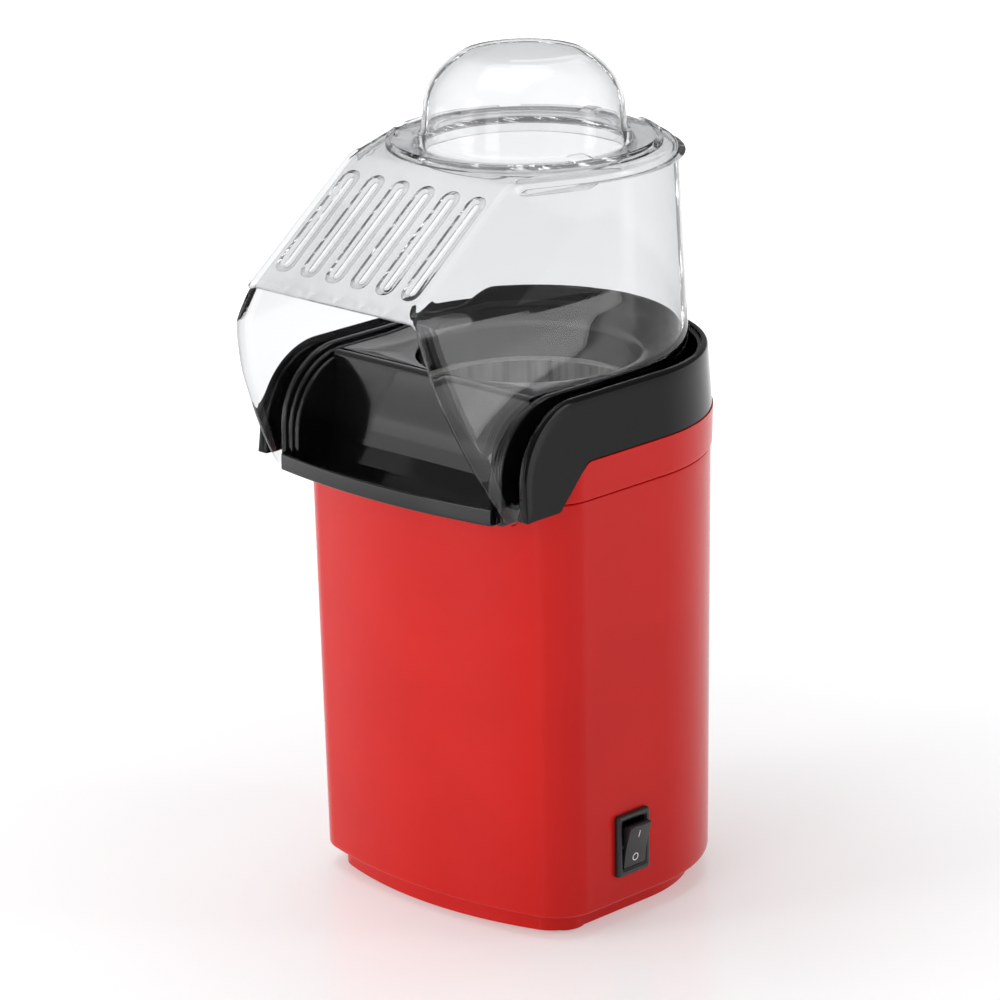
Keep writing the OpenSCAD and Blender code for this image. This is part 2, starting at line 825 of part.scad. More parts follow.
// centres of the hood's rounded edges, [x, y, z], on one side
function hood_core() = let (
    n_y = -sin(slope_a), n_z = cos(slope_a),
    over = 4,
    foot_y = -hood_front - over * cos(slope_a) - edge_r * n_y,
    foot_z = slope_foot_z - over * sin(slope_a) - edge_r * n_z,
    side_x = hood_low_r - edge_r - 0.2)
  [[slope_half_w - edge_r, -slope_top_y + edge_r, hood_top_z - edge_r],
   [slope_half_w + 0.6 - edge_r, foot_y, foot_z],
   [side_x - 9.2, -hood_front - 0.6, slope_foot_z - 14],
   [side_x - 6, -hood_front + 4.4, slope_foot_z - 31],
   [side_x - 0.7, -rim_front + 3, rim_z],
   [side_x, -rim_front + 9, rim_z - 12],
   [side_x - 3.8, -hood_front + 11, rim_z - 15],
   [side_x - 0.7, -rim_front - 2, rim_low_z + 4],
   [side_x - 0.6, -rim_front + 9, rim_low_z - 4]];

module hood_hull(r) {
  hull() {
    disc(hood_top_r - edge_r + r, hood_top_z - edge_r, eps);
    disc(hood_top_r - edge_r + r * 0.71, hood_top_z - edge_r + r * 0.71, eps);
    disc(hood_top_r - edge_r, hood_top_z - edge_r + r - eps, eps);
    disc(hood_low_r - edge_r + r, hood_low_z - 3, eps);
    for (p = hood_core(), s = [-1, 1]) translate([s * p.x, p.y, p.z]) sphere(r, $fn = 24);
  }
}

// side outline of what is kept of the hood: open below and in front
function hood_side() = let (
    e = [-sin(slope_a), cos(slope_a)],
    edge = [-hood_front, slope_foot_z])
  concat(
    [[far, hood_low_z], [far, far + far], [-far, far + far], edge + 8 * e, edge - 2.1 * e],
    [[-hood_front + 0.6, slope_foot_z - 14], [-hood_front + 5.6, slope_foot_z - 31],
     [-hood_front + 13, slope_foot_z - 47], [-hood_front + 17.5, slope_foot_z - 55]],
    arc(-rim_front + 3.2, rim_low_z + 0.6, 3.8, 190, 330, 6),
    [[notch_y - 6.5, rim_low_z + 4.6], [notch_y + line_run - 3, hood_low_z]]);

module hood_vents() {
  run = (hood_front - slope_top_y) / cos(slope_a);
  translate([0, -hood_front, slope_foot_z]) rotate([slope_a, 0, 0])
    for (i = [0:vent_count - 1]) translate([(i - (vent_count - 1) / 2) * vent_pitch, 0, -10])
      hull_free_slot(vent_end, run - vent_end, vent_w / 2, 20);
}

// round-ended slot from y0 to y1, made of true cylinders
module hull_free_slot(y0, y1, r, h) {
  translate([0, y0, 0]) cylinder(r = r, h = h);
  translate([0, y1, 0]) cylinder(r = r, h = h);
  translate([-r, y0, 0]) cube([2 * r, y1 - y0, h]);
}

module hood() {
  color(clear) on_axis() difference() {
    union() {
      intersection() {
        difference() {
          hood_hull(edge_r);
          hood_hull(edge_r - clear_t);
        }
        side_slab(hood_side(), far);
      }
      // notched ring that centres the cap
      difference() {
        ring(cap_flange_r + 2.2, cap_flange_r + 0.5, hood_top_z - 0.5, 2.6);
        for (a = [20 : 60 : 320]) rotate([0, 0, a]) translate([30, -3.5, hood_top_z + 0.6])
          cube([30, 7, 10]);
      }
    }
    disc(hood_hole_r, hood_top_z - 8, 20);
    hood_vents();
    // clear of the chute's cheeks
    translate([-groove_r - 0.4, -far, 0]) cube([2 * groove_r + 0.8, far - apron_y, rim_low_z + 5]);
  }
}

module measuring_cap() {
  top = hood_top_z + cap_h;
  r0 = cap_skirt_r;
  mid = hood_top_z + 0.37 * cap_h;
  dome_h = top - mid + 4.4;
  wall = clear_t - 0.2;
  function dome(g) = [for (i = [0:14]) let (a = 52.5 * i / 14)
    [(r0 - 1.6 - g) * cos(a), mid + (dome_h - g) * sin(a) * 0.98]];
  color(clear) on_axis() union() {
    rotate_extrude() polygon(concat(
      [[r0 - wall, cap_seat - cap_skirt_h], [r0, cap_seat - cap_skirt_h], [r0, cap_seat],
       [cap_flange_r, cap_seat], [cap_flange_r, cap_seat + 1.7], [r0 + 1.4, cap_seat + 1.7],
       [r0 - 0.4, cap_seat + 3.2], [r0 - 1.2, cap_seat + 6]],
      dome(0),
      [[cap_flat_r + 0.8, top - 0.5], [cap_flat_r, top], [0, top], [0, top - wall],
       [cap_flat_r - 0.4, top - wall]],
      [for (i = [14:-1:0]) dome(wall)[i]],
      [[r0 - wall - 1.3, cap_seat + 4], [r0 - wall, cap_seat + 1]]));
    // three small grips on the flange
    for (a = [100, 220, 340]) rotate([0, 0, a]) translate([r0 + 2, -3, cap_seat + 1.6])
      cube([cap_flange_r - r0 - 3, 6, 1.2]);
  }
}

// ---- switch, inlet and wires ----

module switch_place() {
  translate([body_r + (switch_z - body_z) * tan(body_lean), -switch_y, switch_z])
    rotate([0, body_lean, 0]) children();
}

module switch_frame() {
  color(black) on_axis() switch_place() difference() {
    union() {
      translate([bezel_t / 2, 0, 0]) cube([bezel_t, bezel_w, bezel_h], center = true);
      translate([-6.5, 0, 0]) cube([13 + eps, bezel_w - 2, bezel_h - 2], center = true);
    }
    translate([bezel_t - 5, 0, 0])
      cube([10 + 2 * eps, rocker_w + 2 * 0.35, rocker_h + 0.9], center = true);
    translate([bezel_t - pivot_in, 0, 0]) rotate([90, 0, 0]) cylinder(r = 1, h = rocker_w + 3, center = true);
    for (z = [-5.5, 0]) translate([-13, 0, z]) cube([6, 0.9, 4.9], center = true);
  }
}

module switch_terminals() {
  color([0.8, 0.65, 0.35]) on_axis() switch_place()
    for (z = [-5.5, 0]) translate([-15, 0, z]) cube([10, 0.8, 4.8], center = true);
}

module rocker_pin() {
  color(steel) on_axis() switch_place() translate([bezel_t - pivot_in, 0, 0]) rotate([90, 0, 0])
    cylinder(r = 1, h = rocker_w + 3, center = true);
}

module rocker() {
  h = rocker_h / 2;
  color(black) on_axis() switch_place() translate([bezel_t - pivot_in, 0, 0]) rotate([0, rocker_tilt, 0])
    difference() {
      rotate([90, 0, 0]) linear_extrude(rocker_w, center = true)
        polygon([[-2.2, -2.4], [-0.6, -h + 0.7], [1.6, -h], [2.5, -h + 0.3], [1.9, 0], [2.5, h - 0.3],
          [1.6, h], [-0.6, h - 0.7], [-2.2, 2.4]]);
      rotate([90, 0, 0]) cylinder(r = 1 + running, h = 30, center = true);
    }
}

module inlet_bush() {
  outer = body_r + 0.6;
  inner = outer - body_wall - 1.4;
  color([0.08, 0.08, 0.08]) on_axis() translate([0, 0, inlet_z]) rotate([-90, 0, 0]) difference() {
    union() {
      translate([0, 0, inner]) cylinder(r = cord_r + 1.6, h = outer - inner);
      translate([0, 0, outer]) cylinder(r = cord_r + 3.2, h = 1.6);
      translate([0, 0, inner - 1.6]) cylinder(r = cord_r + 3.2, h = 1.6);
    }
    cylinder(r = cord_r, h = far);
  }
}

function unit(v) = v / norm(v);

// straight runs of eight-sided sleeve that reach a little past each corner
module wire(points) {
  last = len(points) - 1;
  past = 0.5 * wire_r;
  for (i = [0:last - 1]) {
    d = unit(points[i + 1] - points[i]);
    start = points[i] - d * (i > 0 ? past : 0);
    length = norm(points[i + 1] - start) + (i < last - 1 ? past : 0);
    translate(start) rotate([0, acos(d.z), atan2(d.y, d.x)]) cylinder(r = wire_r, h = length, $fn = 8);
  }
}

// switch and inlet to the heater, the fuse and the thermostat, outside the fan and the heater tube
module wiring() {
  tab_x = body_r - 20.4;
  tab_y = -switch_y;
  in_y = body_r - 6.8;
  r = tube_out + 5.2;
  end_r = tube_out + 5.4;
  fuse = (tube_out + 1.8) * [cos(fuse_angle), sin(fuse_angle)];
  t0 = end_r * [cos(terminal_angles[0]), sin(terminal_angles[0])];
  t1 = end_r * [cos(terminal_angles[1]), sin(terminal_angles[1])];
  color([0.75, 0.72, 0.68]) on_axis() {
    wire([[tab_x, tab_y, switch_z], [tab_x - 4, tab_y - 3, switch_z + 3], [r - 6, tab_y - 7, duct_z - 8],
      [r, tab_y + 2, duct_z + 8], [t0.x + 3, t0.y - 1, terminal_z - 8], [t0.x + 2.4, t0.y - 1, terminal_z - 1]]);
    wire([[0, in_y, inlet_z], [2, in_y - 8, inlet_z - 3], [20, in_y - 20, 14], [tab_x - 6, 8, 14],
      [tab_x - 4, tab_y + 3, switch_z - 7], [tab_x, tab_y, switch_z - 5.5]]);
    wire([[-3, in_y, inlet_z + 2], [-5, in_y - 2, inlet_z + 10], [-8, in_y - 2, duct_top + 20],
      [-24, 40, fuse_z - 14], [fuse.x, fuse.y, fuse_z - 12], [fuse.x, fuse.y, fuse_z - 7.2]]);
    wire([[fuse.x, fuse.y, fuse_z + 21.2], [fuse.x, fuse.y, fuse_z + 25], [-r - 2, 14, thermostat_z + 12],
      [-r - 3, 3.4, thermostat_z + 8], [-r - 3, 3.4, thermostat_z + 0.6]]);
    wire([[-r - 3, -3.4, thermostat_z - 0.6], [-r - 3, -3.4, thermostat_z - 10], [-43, -20, thermostat_z - 18],
      [-30, -36, thermostat_z - 22], [-8, -r, terminal_z + 2], [t1.x - 8, t1.y, terminal_z], [t1.x - 2, t1.y, terminal_z]]);
  }
}

body_shell();
upper_band();
base_plate();
foot_pads();
base_screws();
top_trim();
chute();
chute_screws();
popping_chamber();
chamber_gasket();
heater_housing();
heater_boards();
heater_coil();
heater_terminals();
thermostat();
thermal_fuse();
fan_housing();
fan_screws();
motor_can();
motor_magnets();
motor_bushes();
motor_endcap();
motor_screws();
rectifier_board();
rectifier_diodes();
switch_frame();
switch_terminals();
rocker_pin();
inlet_bush();
wiring();
hood();
measuring_cap();
fan_impeller();
motor_shaft();
motor_rotor();
rocker();
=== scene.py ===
import math
from math import acos, atan2, cos, hypot, pi, sin, sqrt
import bmesh
import bpy
import numpy as np
from numpy import column_stack, concatenate, linspace, radians, stack
from mathutils import Matrix, Vector


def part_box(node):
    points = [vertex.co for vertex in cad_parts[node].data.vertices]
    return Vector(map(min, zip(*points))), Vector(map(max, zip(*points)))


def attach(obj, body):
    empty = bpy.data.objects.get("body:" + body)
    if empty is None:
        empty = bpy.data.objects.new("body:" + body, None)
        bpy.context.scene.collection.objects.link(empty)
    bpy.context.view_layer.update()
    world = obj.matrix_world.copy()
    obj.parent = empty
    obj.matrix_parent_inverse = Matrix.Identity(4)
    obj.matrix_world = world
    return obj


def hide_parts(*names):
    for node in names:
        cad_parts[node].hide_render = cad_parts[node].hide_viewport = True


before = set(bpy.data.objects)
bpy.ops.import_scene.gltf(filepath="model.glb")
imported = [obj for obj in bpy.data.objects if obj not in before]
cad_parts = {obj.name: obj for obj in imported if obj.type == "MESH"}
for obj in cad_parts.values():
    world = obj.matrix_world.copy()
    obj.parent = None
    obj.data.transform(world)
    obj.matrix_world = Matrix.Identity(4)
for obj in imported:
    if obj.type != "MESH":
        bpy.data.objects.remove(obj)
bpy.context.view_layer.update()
print("frame loaded,", len(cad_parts), "nodes")

# shared sizes, in millimetres about the popping axis
mm = 0.001
chamberLow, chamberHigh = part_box("popping_chamber")
# the popping axis in the row frame, in metres
axisY = (chamberLow.y + chamberHigh.y) / 2
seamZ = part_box("body_shell")[1].z / mm
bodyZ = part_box("body_shell")[0].z / mm
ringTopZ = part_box("top_trim")[1].z / mm
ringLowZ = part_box("top_trim")[0].z / mm
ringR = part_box("top_trim")[1].x / mm
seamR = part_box("body_shell")[1].x / mm
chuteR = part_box("chute")[1].x / mm
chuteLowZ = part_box("chute")[0].z / mm
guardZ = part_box("chute")[1].z / mm
# closer points are merged and shorter edges dissolved, in metres
mergeGap, shortEdge = 0.000004, 0.000002


def toRow(points):
    # millimetres about the popping axis to metres in the row frame
    return np.asarray(points, float) * mm + np.array([0.0, axisY, 0.0])


def gridFaces(rows, cols, wrapRows, wrapCols, keep=None):
    # four corners of each cell of a rows by cols grid of points
    i = np.arange(rows if wrapRows else rows - 1)
    j = np.arange(cols if wrapCols else cols - 1)
    a, b = np.meshgrid(i, j, indexing="ij")
    a1, b1 = (a + 1) % rows, (b + 1) % cols
    quads = stack([a * cols + b, a * cols + b1, a1 * cols + b1, a1 * cols + b], -1)
    return quads[keep] if keep is not None else quads.reshape(-1, 4)


def buildPiece(name, parts, body, material, replaces=(), sharp=40):
    # parts: list of (points grid in mm, wrap rows, wrap cols, keep mask if any); seams and
    # poles are merged and the faces are turned outward
    allPoints, allQuads, start = [], [], 0
    for points, wrapRows, wrapCols, *keep in parts:
        points = np.asarray(points, float)
        rows, cols = points.shape[:2]
        allQuads.append(gridFaces(rows, cols, wrapRows, wrapCols, *keep) + start)
        allPoints.append(points.reshape(-1, 3))
        start += rows * cols
    points, quads = toRow(concatenate(allPoints)), concatenate(allQuads)
    mesh = bpy.data.meshes.new(name)
    mesh.from_pydata(points, [], quads.tolist())
    work = bmesh.new()
    work.from_mesh(mesh)
    bmesh.ops.remove_doubles(work, verts=work.verts, dist=mergeGap)
    bmesh.ops.dissolve_degenerate(work, edges=work.edges, dist=shortEdge)
    bmesh.ops.recalc_face_normals(work, faces=work.faces)
    work.to_mesh(mesh)
    work.free()
    mesh.polygons.foreach_set("use_smooth", np.ones(len(mesh.polygons), bool))
    mesh.set_sharp_from_angle(angle=math.radians(sharp))
    piece = bpy.data.objects.new(name, mesh)
    bpy.context.scene.collection.objects.link(piece)
    piece.data.materials.append(material)
    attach(piece, body)
    if replaces:
        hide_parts(*replaces)
    return piece


def turned(r, angle, z):
    # points at radius r and that angle about the axis, at height z
    return stack(np.broadcast_arrays(r * np.cos(angle), r * np.sin(angle), z), -1)


def arcPoints(cy, cz, r, fromDeg, toDeg, n):
    # n points along an arc about (cy, cz)
    t = radians(linspace(fromDeg, toDeg, n))
    return stack([cy + r * np.cos(t), cz + r * np.sin(t)], -1)


def resample(path, n):
    # n points at even distances along a polyline
    path = np.asarray(path, float)
    run = concatenate([[0], np.cumsum(np.linalg.norm(np.diff(path, axis=0), axis=1))])
    at = linspace(0, run[-1], n)
    return stack([np.interp(at, run, path[:, k]) for k in range(path.shape[1])], -1)


def roundPath(corners, radii, steps=6, closed=False):
    # corners joined by straight lines, each corner replaced by a quadratic curve of that
    # reach, at most a little under half a side
    corners = [np.asarray(c, float) for c in corners]
    out, count, mostShare = [], len(corners), 0.48
    for k, (corner, reach) in enumerate(zip(corners, radii)):
        if reach <= 0 or (not closed and k in (0, count - 1)):
            out.append(corner[None])
            continue
        ends = []
        for other in (corners[k - 1], corners[(k + 1) % count]):
            way = other - corner
            length = np.linalg.norm(way)
            ends.append(corner + way / length * min(reach, mostShare * length))
        t = linspace(0, 1, steps)[:, None]
        out.append((1 - t) ** 2 * ends[0] + 2 * t * (1 - t) * corner + t ** 2 * ends[1])
    return concatenate(out)


def smooth(lo, hi, v):
    # 0 up to lo, 1 from hi, a cubic ease between
    t = np.clip((v - lo) / (hi - lo), 0, 1)
    return t * t * (3 - 2 * t)


# materials
def setInputs(node, values):
    for socket, value in values.items():
        node.inputs[socket].default_value = value


def newMaterial(name):
    material = bpy.data.materials.new(name)
    material.use_nodes = True
    nodes, links = material.node_tree.nodes, material.node_tree.links
    shader = nodes["Principled BSDF"]
    coordinates = nodes.new("ShaderNodeTexCoord")
    return material, nodes, links, shader, coordinates.outputs["Object"]


def addNoise(nodes, links, source, scale, detail=3.0, stretch=(1, 1, 1), roughness=0.5):
    mapping = nodes.new("ShaderNodeMapping")
    setInputs(mapping, {"Scale": stretch})
    noise = nodes.new("ShaderNodeTexNoise")
    setInputs(noise, {"Scale": scale, "Detail": detail, "Roughness": roughness})
    links.new(source, mapping.inputs["Vector"])
    links.new(mapping.outputs["Vector"], noise.inputs["Vector"])
    return noise.outputs["Fac"]


def remap(nodes, links, value, lo, hi, fromLo=0.0, fromHi=1.0):
    node = nodes.new("ShaderNodeMapRange")
    setInputs(node, {"From Min": fromLo, "From Max": fromHi, "To Min": lo, "To Max": hi})
    links.new(value, node.inputs["Value"])
    return node.outputs["Result"]


def mixColours(nodes, links, factor, a, b):
    node = nodes.new("ShaderNodeMix")
    node.data_type = "RGBA"
    setInputs(node, {"A": (*a, 1), "B": (*b, 1)})
    links.new(factor, node.inputs["Factor"])
    return node.outputs["Result"]


def addBump(nodes, links, shader, height, strength, distance):
    node = nodes.new("ShaderNodeBump")
    setInputs(node, {"Strength": strength, "Distance": distance})
    links.new(height, node.inputs["Height"])
    links.new(node.outputs["Normal"], shader.inputs["Normal"])
    return node


def moulded(name, colour, darker, roughness, grain=2600, bump=0.06, specular=0.5, coat=0.0,
        scratches=0.02):
    # injection moulded plastic: faint cloudy tint, fine moulding grain, hairline scuffs
    material, nodes, links, shader, where = newMaterial(name)
    cloud = remap(nodes, links, addNoise(nodes, links, where, 28, 4), 0, 1, 0.3, 0.7)
    links.new(mixColours(nodes, links, cloud, colour, darker), shader.inputs["Base Color"])
    fine = addNoise(nodes, links, where, grain, 2)
    scuff = addNoise(nodes, links, where, 60, 6, (1, 1, 9), 0.7)
    rub = remap(nodes, links, scuff, roughness, roughness + scratches * 3, 0.52, 0.78)
    links.new(rub, shader.inputs["Roughness"])
    addBump(nodes, links, shader, fine, bump, 0.00006)
    setInputs(shader, {"Specular IOR Level": specular, "Coat Weight": coat,
        "Coat Roughness": 0.05})
    return material


def metal(name, colour, darkStreakAndReflection, roughness, stretch, scale=90, bump=0.15):
    # drawn or turned metal: streaks along one direction, spots of dull oxide; where the two colours
    # lie far apart, as on the spun aluminium, the streaks are painted reflection bands
    material, nodes, links, shader, where = newMaterial(name)
    streakAndReflectionBand = addNoise(nodes, links, where, scale, 5, stretch, 0.65)
    spots = addNoise(nodes, links, where, 140, 4)
    streakAndReflectionTone = remap(nodes, links, streakAndReflectionBand, 0, 1, 0.36, 0.66)
    # colour of the streaks: a real streaked tone on the steels, painted light and dark reflection
    # bands on the spun aluminium
    links.new(mixColours(nodes, links, streakAndReflectionTone, darkStreakAndReflection, colour), shader.inputs["Base Color"])
    dull = remap(nodes, links, spots, roughness, roughness + 0.22, 0.42, 0.75)
    links.new(dull, shader.inputs["Roughness"])
    addBump(nodes, links, shader, streakAndReflectionBand, bump, 0.00015)
    setInputs(shader, {"Metallic": 1.0})
    return material


def clearPlastic(name, tint, edgeTintAndShade):
    # clear plastic: light passes nearly straight through a grey tint; seen edge-on the colour
    # darkens, partly from the longer path through the grey plastic and partly as painted shade for
    # the dark edge lines; a clear coat gives the gloss, with the faint flow waves and fine scuffs
    # of a moulding
    material, nodes, links, shader, where = newMaterial(name)
    wave = addNoise(nodes, links, where, 16, 2, (1, 1, 0.6))
    scuff = addNoise(nodes, links, where, 90, 6, (1, 4, 1), 0.7)
    links.new(remap(nodes, links, scuff, 0.0, 0.06, 0.55, 0.8), shader.inputs["Roughness"])
    bump = addBump(nodes, links, shader, wave, 0.10, 0.0005)
    links.new(bump.outputs["Normal"], shader.inputs["Coat Normal"])
    facing = nodes.new("ShaderNodeLayerWeight")
    facing.inputs["Blend"].default_value = 0.35
    sharper = nodes.new("ShaderNodeMath")
    sharper.operation = "POWER"
    sharper.inputs[1].default_value = 3.0
    links.new(facing.outputs["Facing"], sharper.inputs[0])
    # painted shade: the colour falls toward the darker edge colour where the wall is seen edge-on
    tintAndEdgeShade = mixColours(nodes, links, sharper.outputs["Value"], tint, edgeTintAndShade)
    links.new(tintAndEdgeShade, shader.inputs["Base Color"])
    setInputs(shader, {"Transmission Weight": 1.0, "IOR": 1.03, "Coat Weight": 0.55,
        "Coat IOR": 1.42, "Coat Roughness": 0.015})
    return material


redPlastic = moulded("redPlastic", (0.60, 0.012, 0.009), (0.55, 0.010, 0.0075), 0.22,
    specular=0.15, scratches=0.008)
blackGloss = moulded("blackGloss", (0.003, 0.003, 0.0032), (0.0045, 0.0045, 0.0048), 0.1,
    specular=0.3, scratches=0.012)
ringGloss = moulded("ringGloss", (0.003, 0.003, 0.0032), (0.0045, 0.0045, 0.0048), 0.12,
    specular=0.12, coat=0.04, scratches=0.012)
blackSatin = moulded("blackSatin", (0.012, 0.012, 0.0125), (0.018, 0.018, 0.018), 0.34,
    grain=1800, bump=0.25, specular=0.4)
rockerBlack = moulded("rockerBlack", (0.010, 0.010, 0.0105), (0.015, 0.015, 0.015), 0.28,
    grain=1800, bump=0.18, specular=0.45)
footRubber = moulded("footRubber", (0.03, 0.03, 0.03), (0.045, 0.045, 0.044), 0.62,
    grain=1200, bump=0.5, specular=0.3)
fanWhite = moulded("fanWhite", (0.66, 0.65, 0.60), (0.58, 0.57, 0.52), 0.38, 1500, 0.2)
micaBoard = moulded("micaBoard", (0.55, 0.50, 0.40), (0.40, 0.36, 0.28), 0.5, 900, 0.5)
boardGreen = moulded("boardGreen", (0.02, 0.13, 0.05), (0.03, 0.17, 0.07), 0.35, 1400, 0.3)
gasketRubber = moulded("gasketRubber", (0.36, 0.35, 0.33), (0.28, 0.27, 0.26), 0.6, 1200, 0.4)
wireSleeve = moulded("wireSleeve", (0.52, 0.49, 0.44), (0.40, 0.38, 0.34), 0.55, 1600, 0.5)
printWhite = moulded("printWhite", (0.82, 0.82, 0.82), (0.72, 0.72, 0.72), 0.4, 2000, 0.1)
magnetGrey = moulded("magnetGrey", (0.05, 0.05, 0.055), (0.035, 0.035, 0.04), 0.5, 900, 0.5)
# spun aluminium: the vertical bands between 0.95 and 0.16 are painted reflections of the
# surroundings, not the metal's own tone
aluminium = metal("spunAluminium", (0.95, 0.945, 0.93), (0.16, 0.155, 0.14), 0.30,
    (1, 1, 0.015), 120, 0.12)
sheetSteel = metal("sheetSteel", (0.58, 0.58, 0.59), (0.42, 0.42, 0.43), 0.28, (1, 1, 0.15))
platedSteel = metal("platedSteel", (0.66, 0.66, 0.67), (0.50, 0.50, 0.52), 0.2, (1, 1, 1), 300)
darkSteel = metal("darkSteel", (0.05, 0.05, 0.052), (0.03, 0.03, 0.032), 0.4, (1, 1, 1), 300)
brassTabs = metal("brassTabs", (0.74, 0.55, 0.26), (0.58, 0.42, 0.2), 0.25, (1, 1, 0.3), 200)
heaterWire = metal("heaterWire", (0.36, 0.32, 0.29), (0.22, 0.19, 0.18), 0.35,
    (1, 1, 4), 400, 0.4)
copperWound = metal("copperWound", (0.62, 0.30, 0.14), (0.36, 0.16, 0.07), 0.3,
    (1, 1, 18), 120, 0.6)
# the second colour of each is the darker edge-on colour, partly painted shade
hoodClear = clearPlastic("hoodClear", (0.80, 0.803, 0.807), (0.30, 0.31, 0.32))
capClear = clearPlastic("capClear", (0.89, 0.893, 0.897), (0.38, 0.39, 0.40))
print("materials ready")

# nodes that keep their own mesh, with their finishes
nodeFinish = {
    redPlastic: "base_plate", aluminium: "popping_chamber", gasketRubber: "chamber_gasket",
    footRubber: "foot_pads inlet_bush", micaBoard: "heater_boards", heaterWire: "heater_coil",
    platedSteel: "base_screws chute_screws fan_screws motor_screws motor_shaft",
    sheetSteel: "heater_housing thermostat motor_can", wireSleeve: "wiring",
    brassTabs: "heater_terminals thermal_fuse motor_bushes switch_terminals",
    blackSatin: "fan_housing motor_endcap", magnetGrey: "motor_magnets rectifier_diodes",
    boardGreen: "rectifier_board", darkSteel: "rocker_pin", fanWhite: "fan_impeller",
    copperWound: "motor_rotor"}
for finish, nodeNames in nodeFinish.items():
    for nodeName in nodeNames.split():
        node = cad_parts[nodeName]
        node.data.materials.clear()
        node.data.materials.append(finish)

# red body: loops of the plan stacked up the wall, each scaled by 1 + lean * share of the
# height, with a quarter round at foot and top; the inner wall is the same loops set in
body = {"r": 57.25, "front": 45.0, "corner": 15.0, "bow": 10.0, "wall": 2.4, "edge": 0.9,
    "topEdge": 0.5, "rows": [3, 20, 24], "chuteY": -44.5, "chutePlay": 0.6,
    "chuteGap": 0.5, "seamGap": 0.15, "lineGap": 0.1, "switchY": (-22.55, -9.45),
    "switchZ": (17.75, 36.85), "inletHalf": 4.5, "inletZ": 22.0}


def planLoop(r, front, corner, bow, marks=()):
    # half circle behind, straight sides, round front corners on a bowed front of radius
    # (r squared + bow squared) / (2 bow); marks are depths that the sides must pass through
    big = (r * r + bow * bow) / (2 * bow)
    c0 = big - front - bow
    cx = r - corner
    cy = c0 - sqrt((big - corner) ** 2 - cx * cx)
    a = atan2(c0 - cy, cx)
    half = math.degrees(acos(body["inletHalf"] / body["r"]))
    rear = radians(np.unique(concatenate([linspace(0, 180, 121), [half, 180 - half]])))
    side = np.unique(concatenate([linspace(cy, 0, 22)[1:-1], marks]))
    turn = linspace(0, a, 25)
    sweep = linspace(pi + a, 2 * pi - a, 60)[1:-1]
    back = turn[::-1]
    stretches = [(r * np.cos(rear), r * np.sin(rear)), (np.full(len(side), -r), side[::-1]),
        (-cx - corner * np.cos(turn), cy - corner * np.sin(turn)),
        (big * np.cos(sweep), c0 + big * np.sin(sweep)),
        (cx + corner * np.cos(back), cy - corner * np.sin(back)),
        (np.full(len(side), r), side)]
    return concatenate([stack(xy, -1) for xy in stretches])


def bodyLoop(inset):
    return planLoop(body["r"] - inset, body["front"] - inset, body["corner"] - inset,
        body["bow"], body["switchY"])


# the seam's width against the foot's, where the black corner's slanted edge starts, how far
# back it runs, and the top of the red band
leanK = seamR / body["r"]
notchY, lineRun, bandTopZ = -49.3, 14.04, 160.3


def blackLineZ(y):
    # height of the lower edge of the black corner at that depth
    return np.interp(y, [notchY, notchY + lineRun], [ringLowZ, bandTopZ])


def wallStack(profile, topZ):
    # loops of the plan at each (inset, share of height, offset), scaled by the wall's outward lean
    rows = []
    for inset, share, lift in profile:
        loop = bodyLoop(inset)
        z = bodyZ + (topZ - bodyZ) * share + lift
        k = 1 + (leanK - 1) * (z - bodyZ) / (seamZ - bodyZ)
        rows.append(concatenate([loop * k[:, None], z[:, None]], -1))
    return stack(rows)


outline = bodyLoop(0) * leanK
underChute = ((np.abs(outline[:, 0]) < chuteR + body["chutePlay"])
    & (outline[:, 1] < body["chuteY"]))
besideChute = np.minimum(seamZ - body["seamGap"], blackLineZ(outline[:, 1]) - body["lineGap"])
bodyTop = np.where(underChute, chuteLowZ - body["chuteGap"], besideChute)
edge, wall, topEdge = body["edge"], body["wall"], body["topEdge"]
inletZs = body["inletZ"] - body["inletHalf"], body["inletZ"] + body["inletHalf"]
holeShares = [z - bodyZ for z in (body["switchZ"][0], *inletZs, body["switchZ"][1])]
quarter = radians(linspace(0, 90, 6))
firstRow = len(quarter)
rowHeights = sorted(holeShares + body["rows"])
outerProfile = [(edge * (1 - sin(t)), 0, edge * (1 - cos(t))) for t in quarter]
outerProfile += [(0, 0, h) for h in rowHeights]
outerProfile += [(0, s, 0) for s in linspace(0.28, 0.97, 14)]
outerProfile += [(topEdge * (1 - cos(t)), 1, -topEdge * (1 - sin(t))) for t in quarter]
innerProfile = [(wall, p[1], p[2]) for p in outerProfile[firstRow:-firstRow]]
outer = wallStack(outerProfile, bodyTop)
inner = wallStack([(wall, 0, 0)] + innerProfile + [(wall, 1, 0)], bodyTop)
rowOf = {h: firstRow + rowHeights.index(h) for h in holeShares}
columns = outer.shape[1]
flat = bodyLoop(0)


def columnAt(x, y):
    # the column of the plan nearest to a point
    return int(np.argmin(np.hypot(flat[:, 0] - x, flat[:, 1] - y)))


switchCols = [columnAt(body["r"], y) for y in body["switchY"]]
inletCols = [columnAt(x, sqrt(body["r"] ** 2 - x * x))
    for x in (body["inletHalf"], -body["inletHalf"])]


def holeMask(rowCount, offset):
    # false on the cells of the two holes; offset is the rows missing below the first one
    keep = np.ones((rowCount - 1, columns), bool)
    for low, high, cols in ((0, 3, switchCols), (1, 2, inletCols)):
        rows = slice(rowOf[holeShares[low]] - offset, rowOf[holeShares[high]] - offset)
        keep[rows, min(cols):max(cols)] = False
    return keep


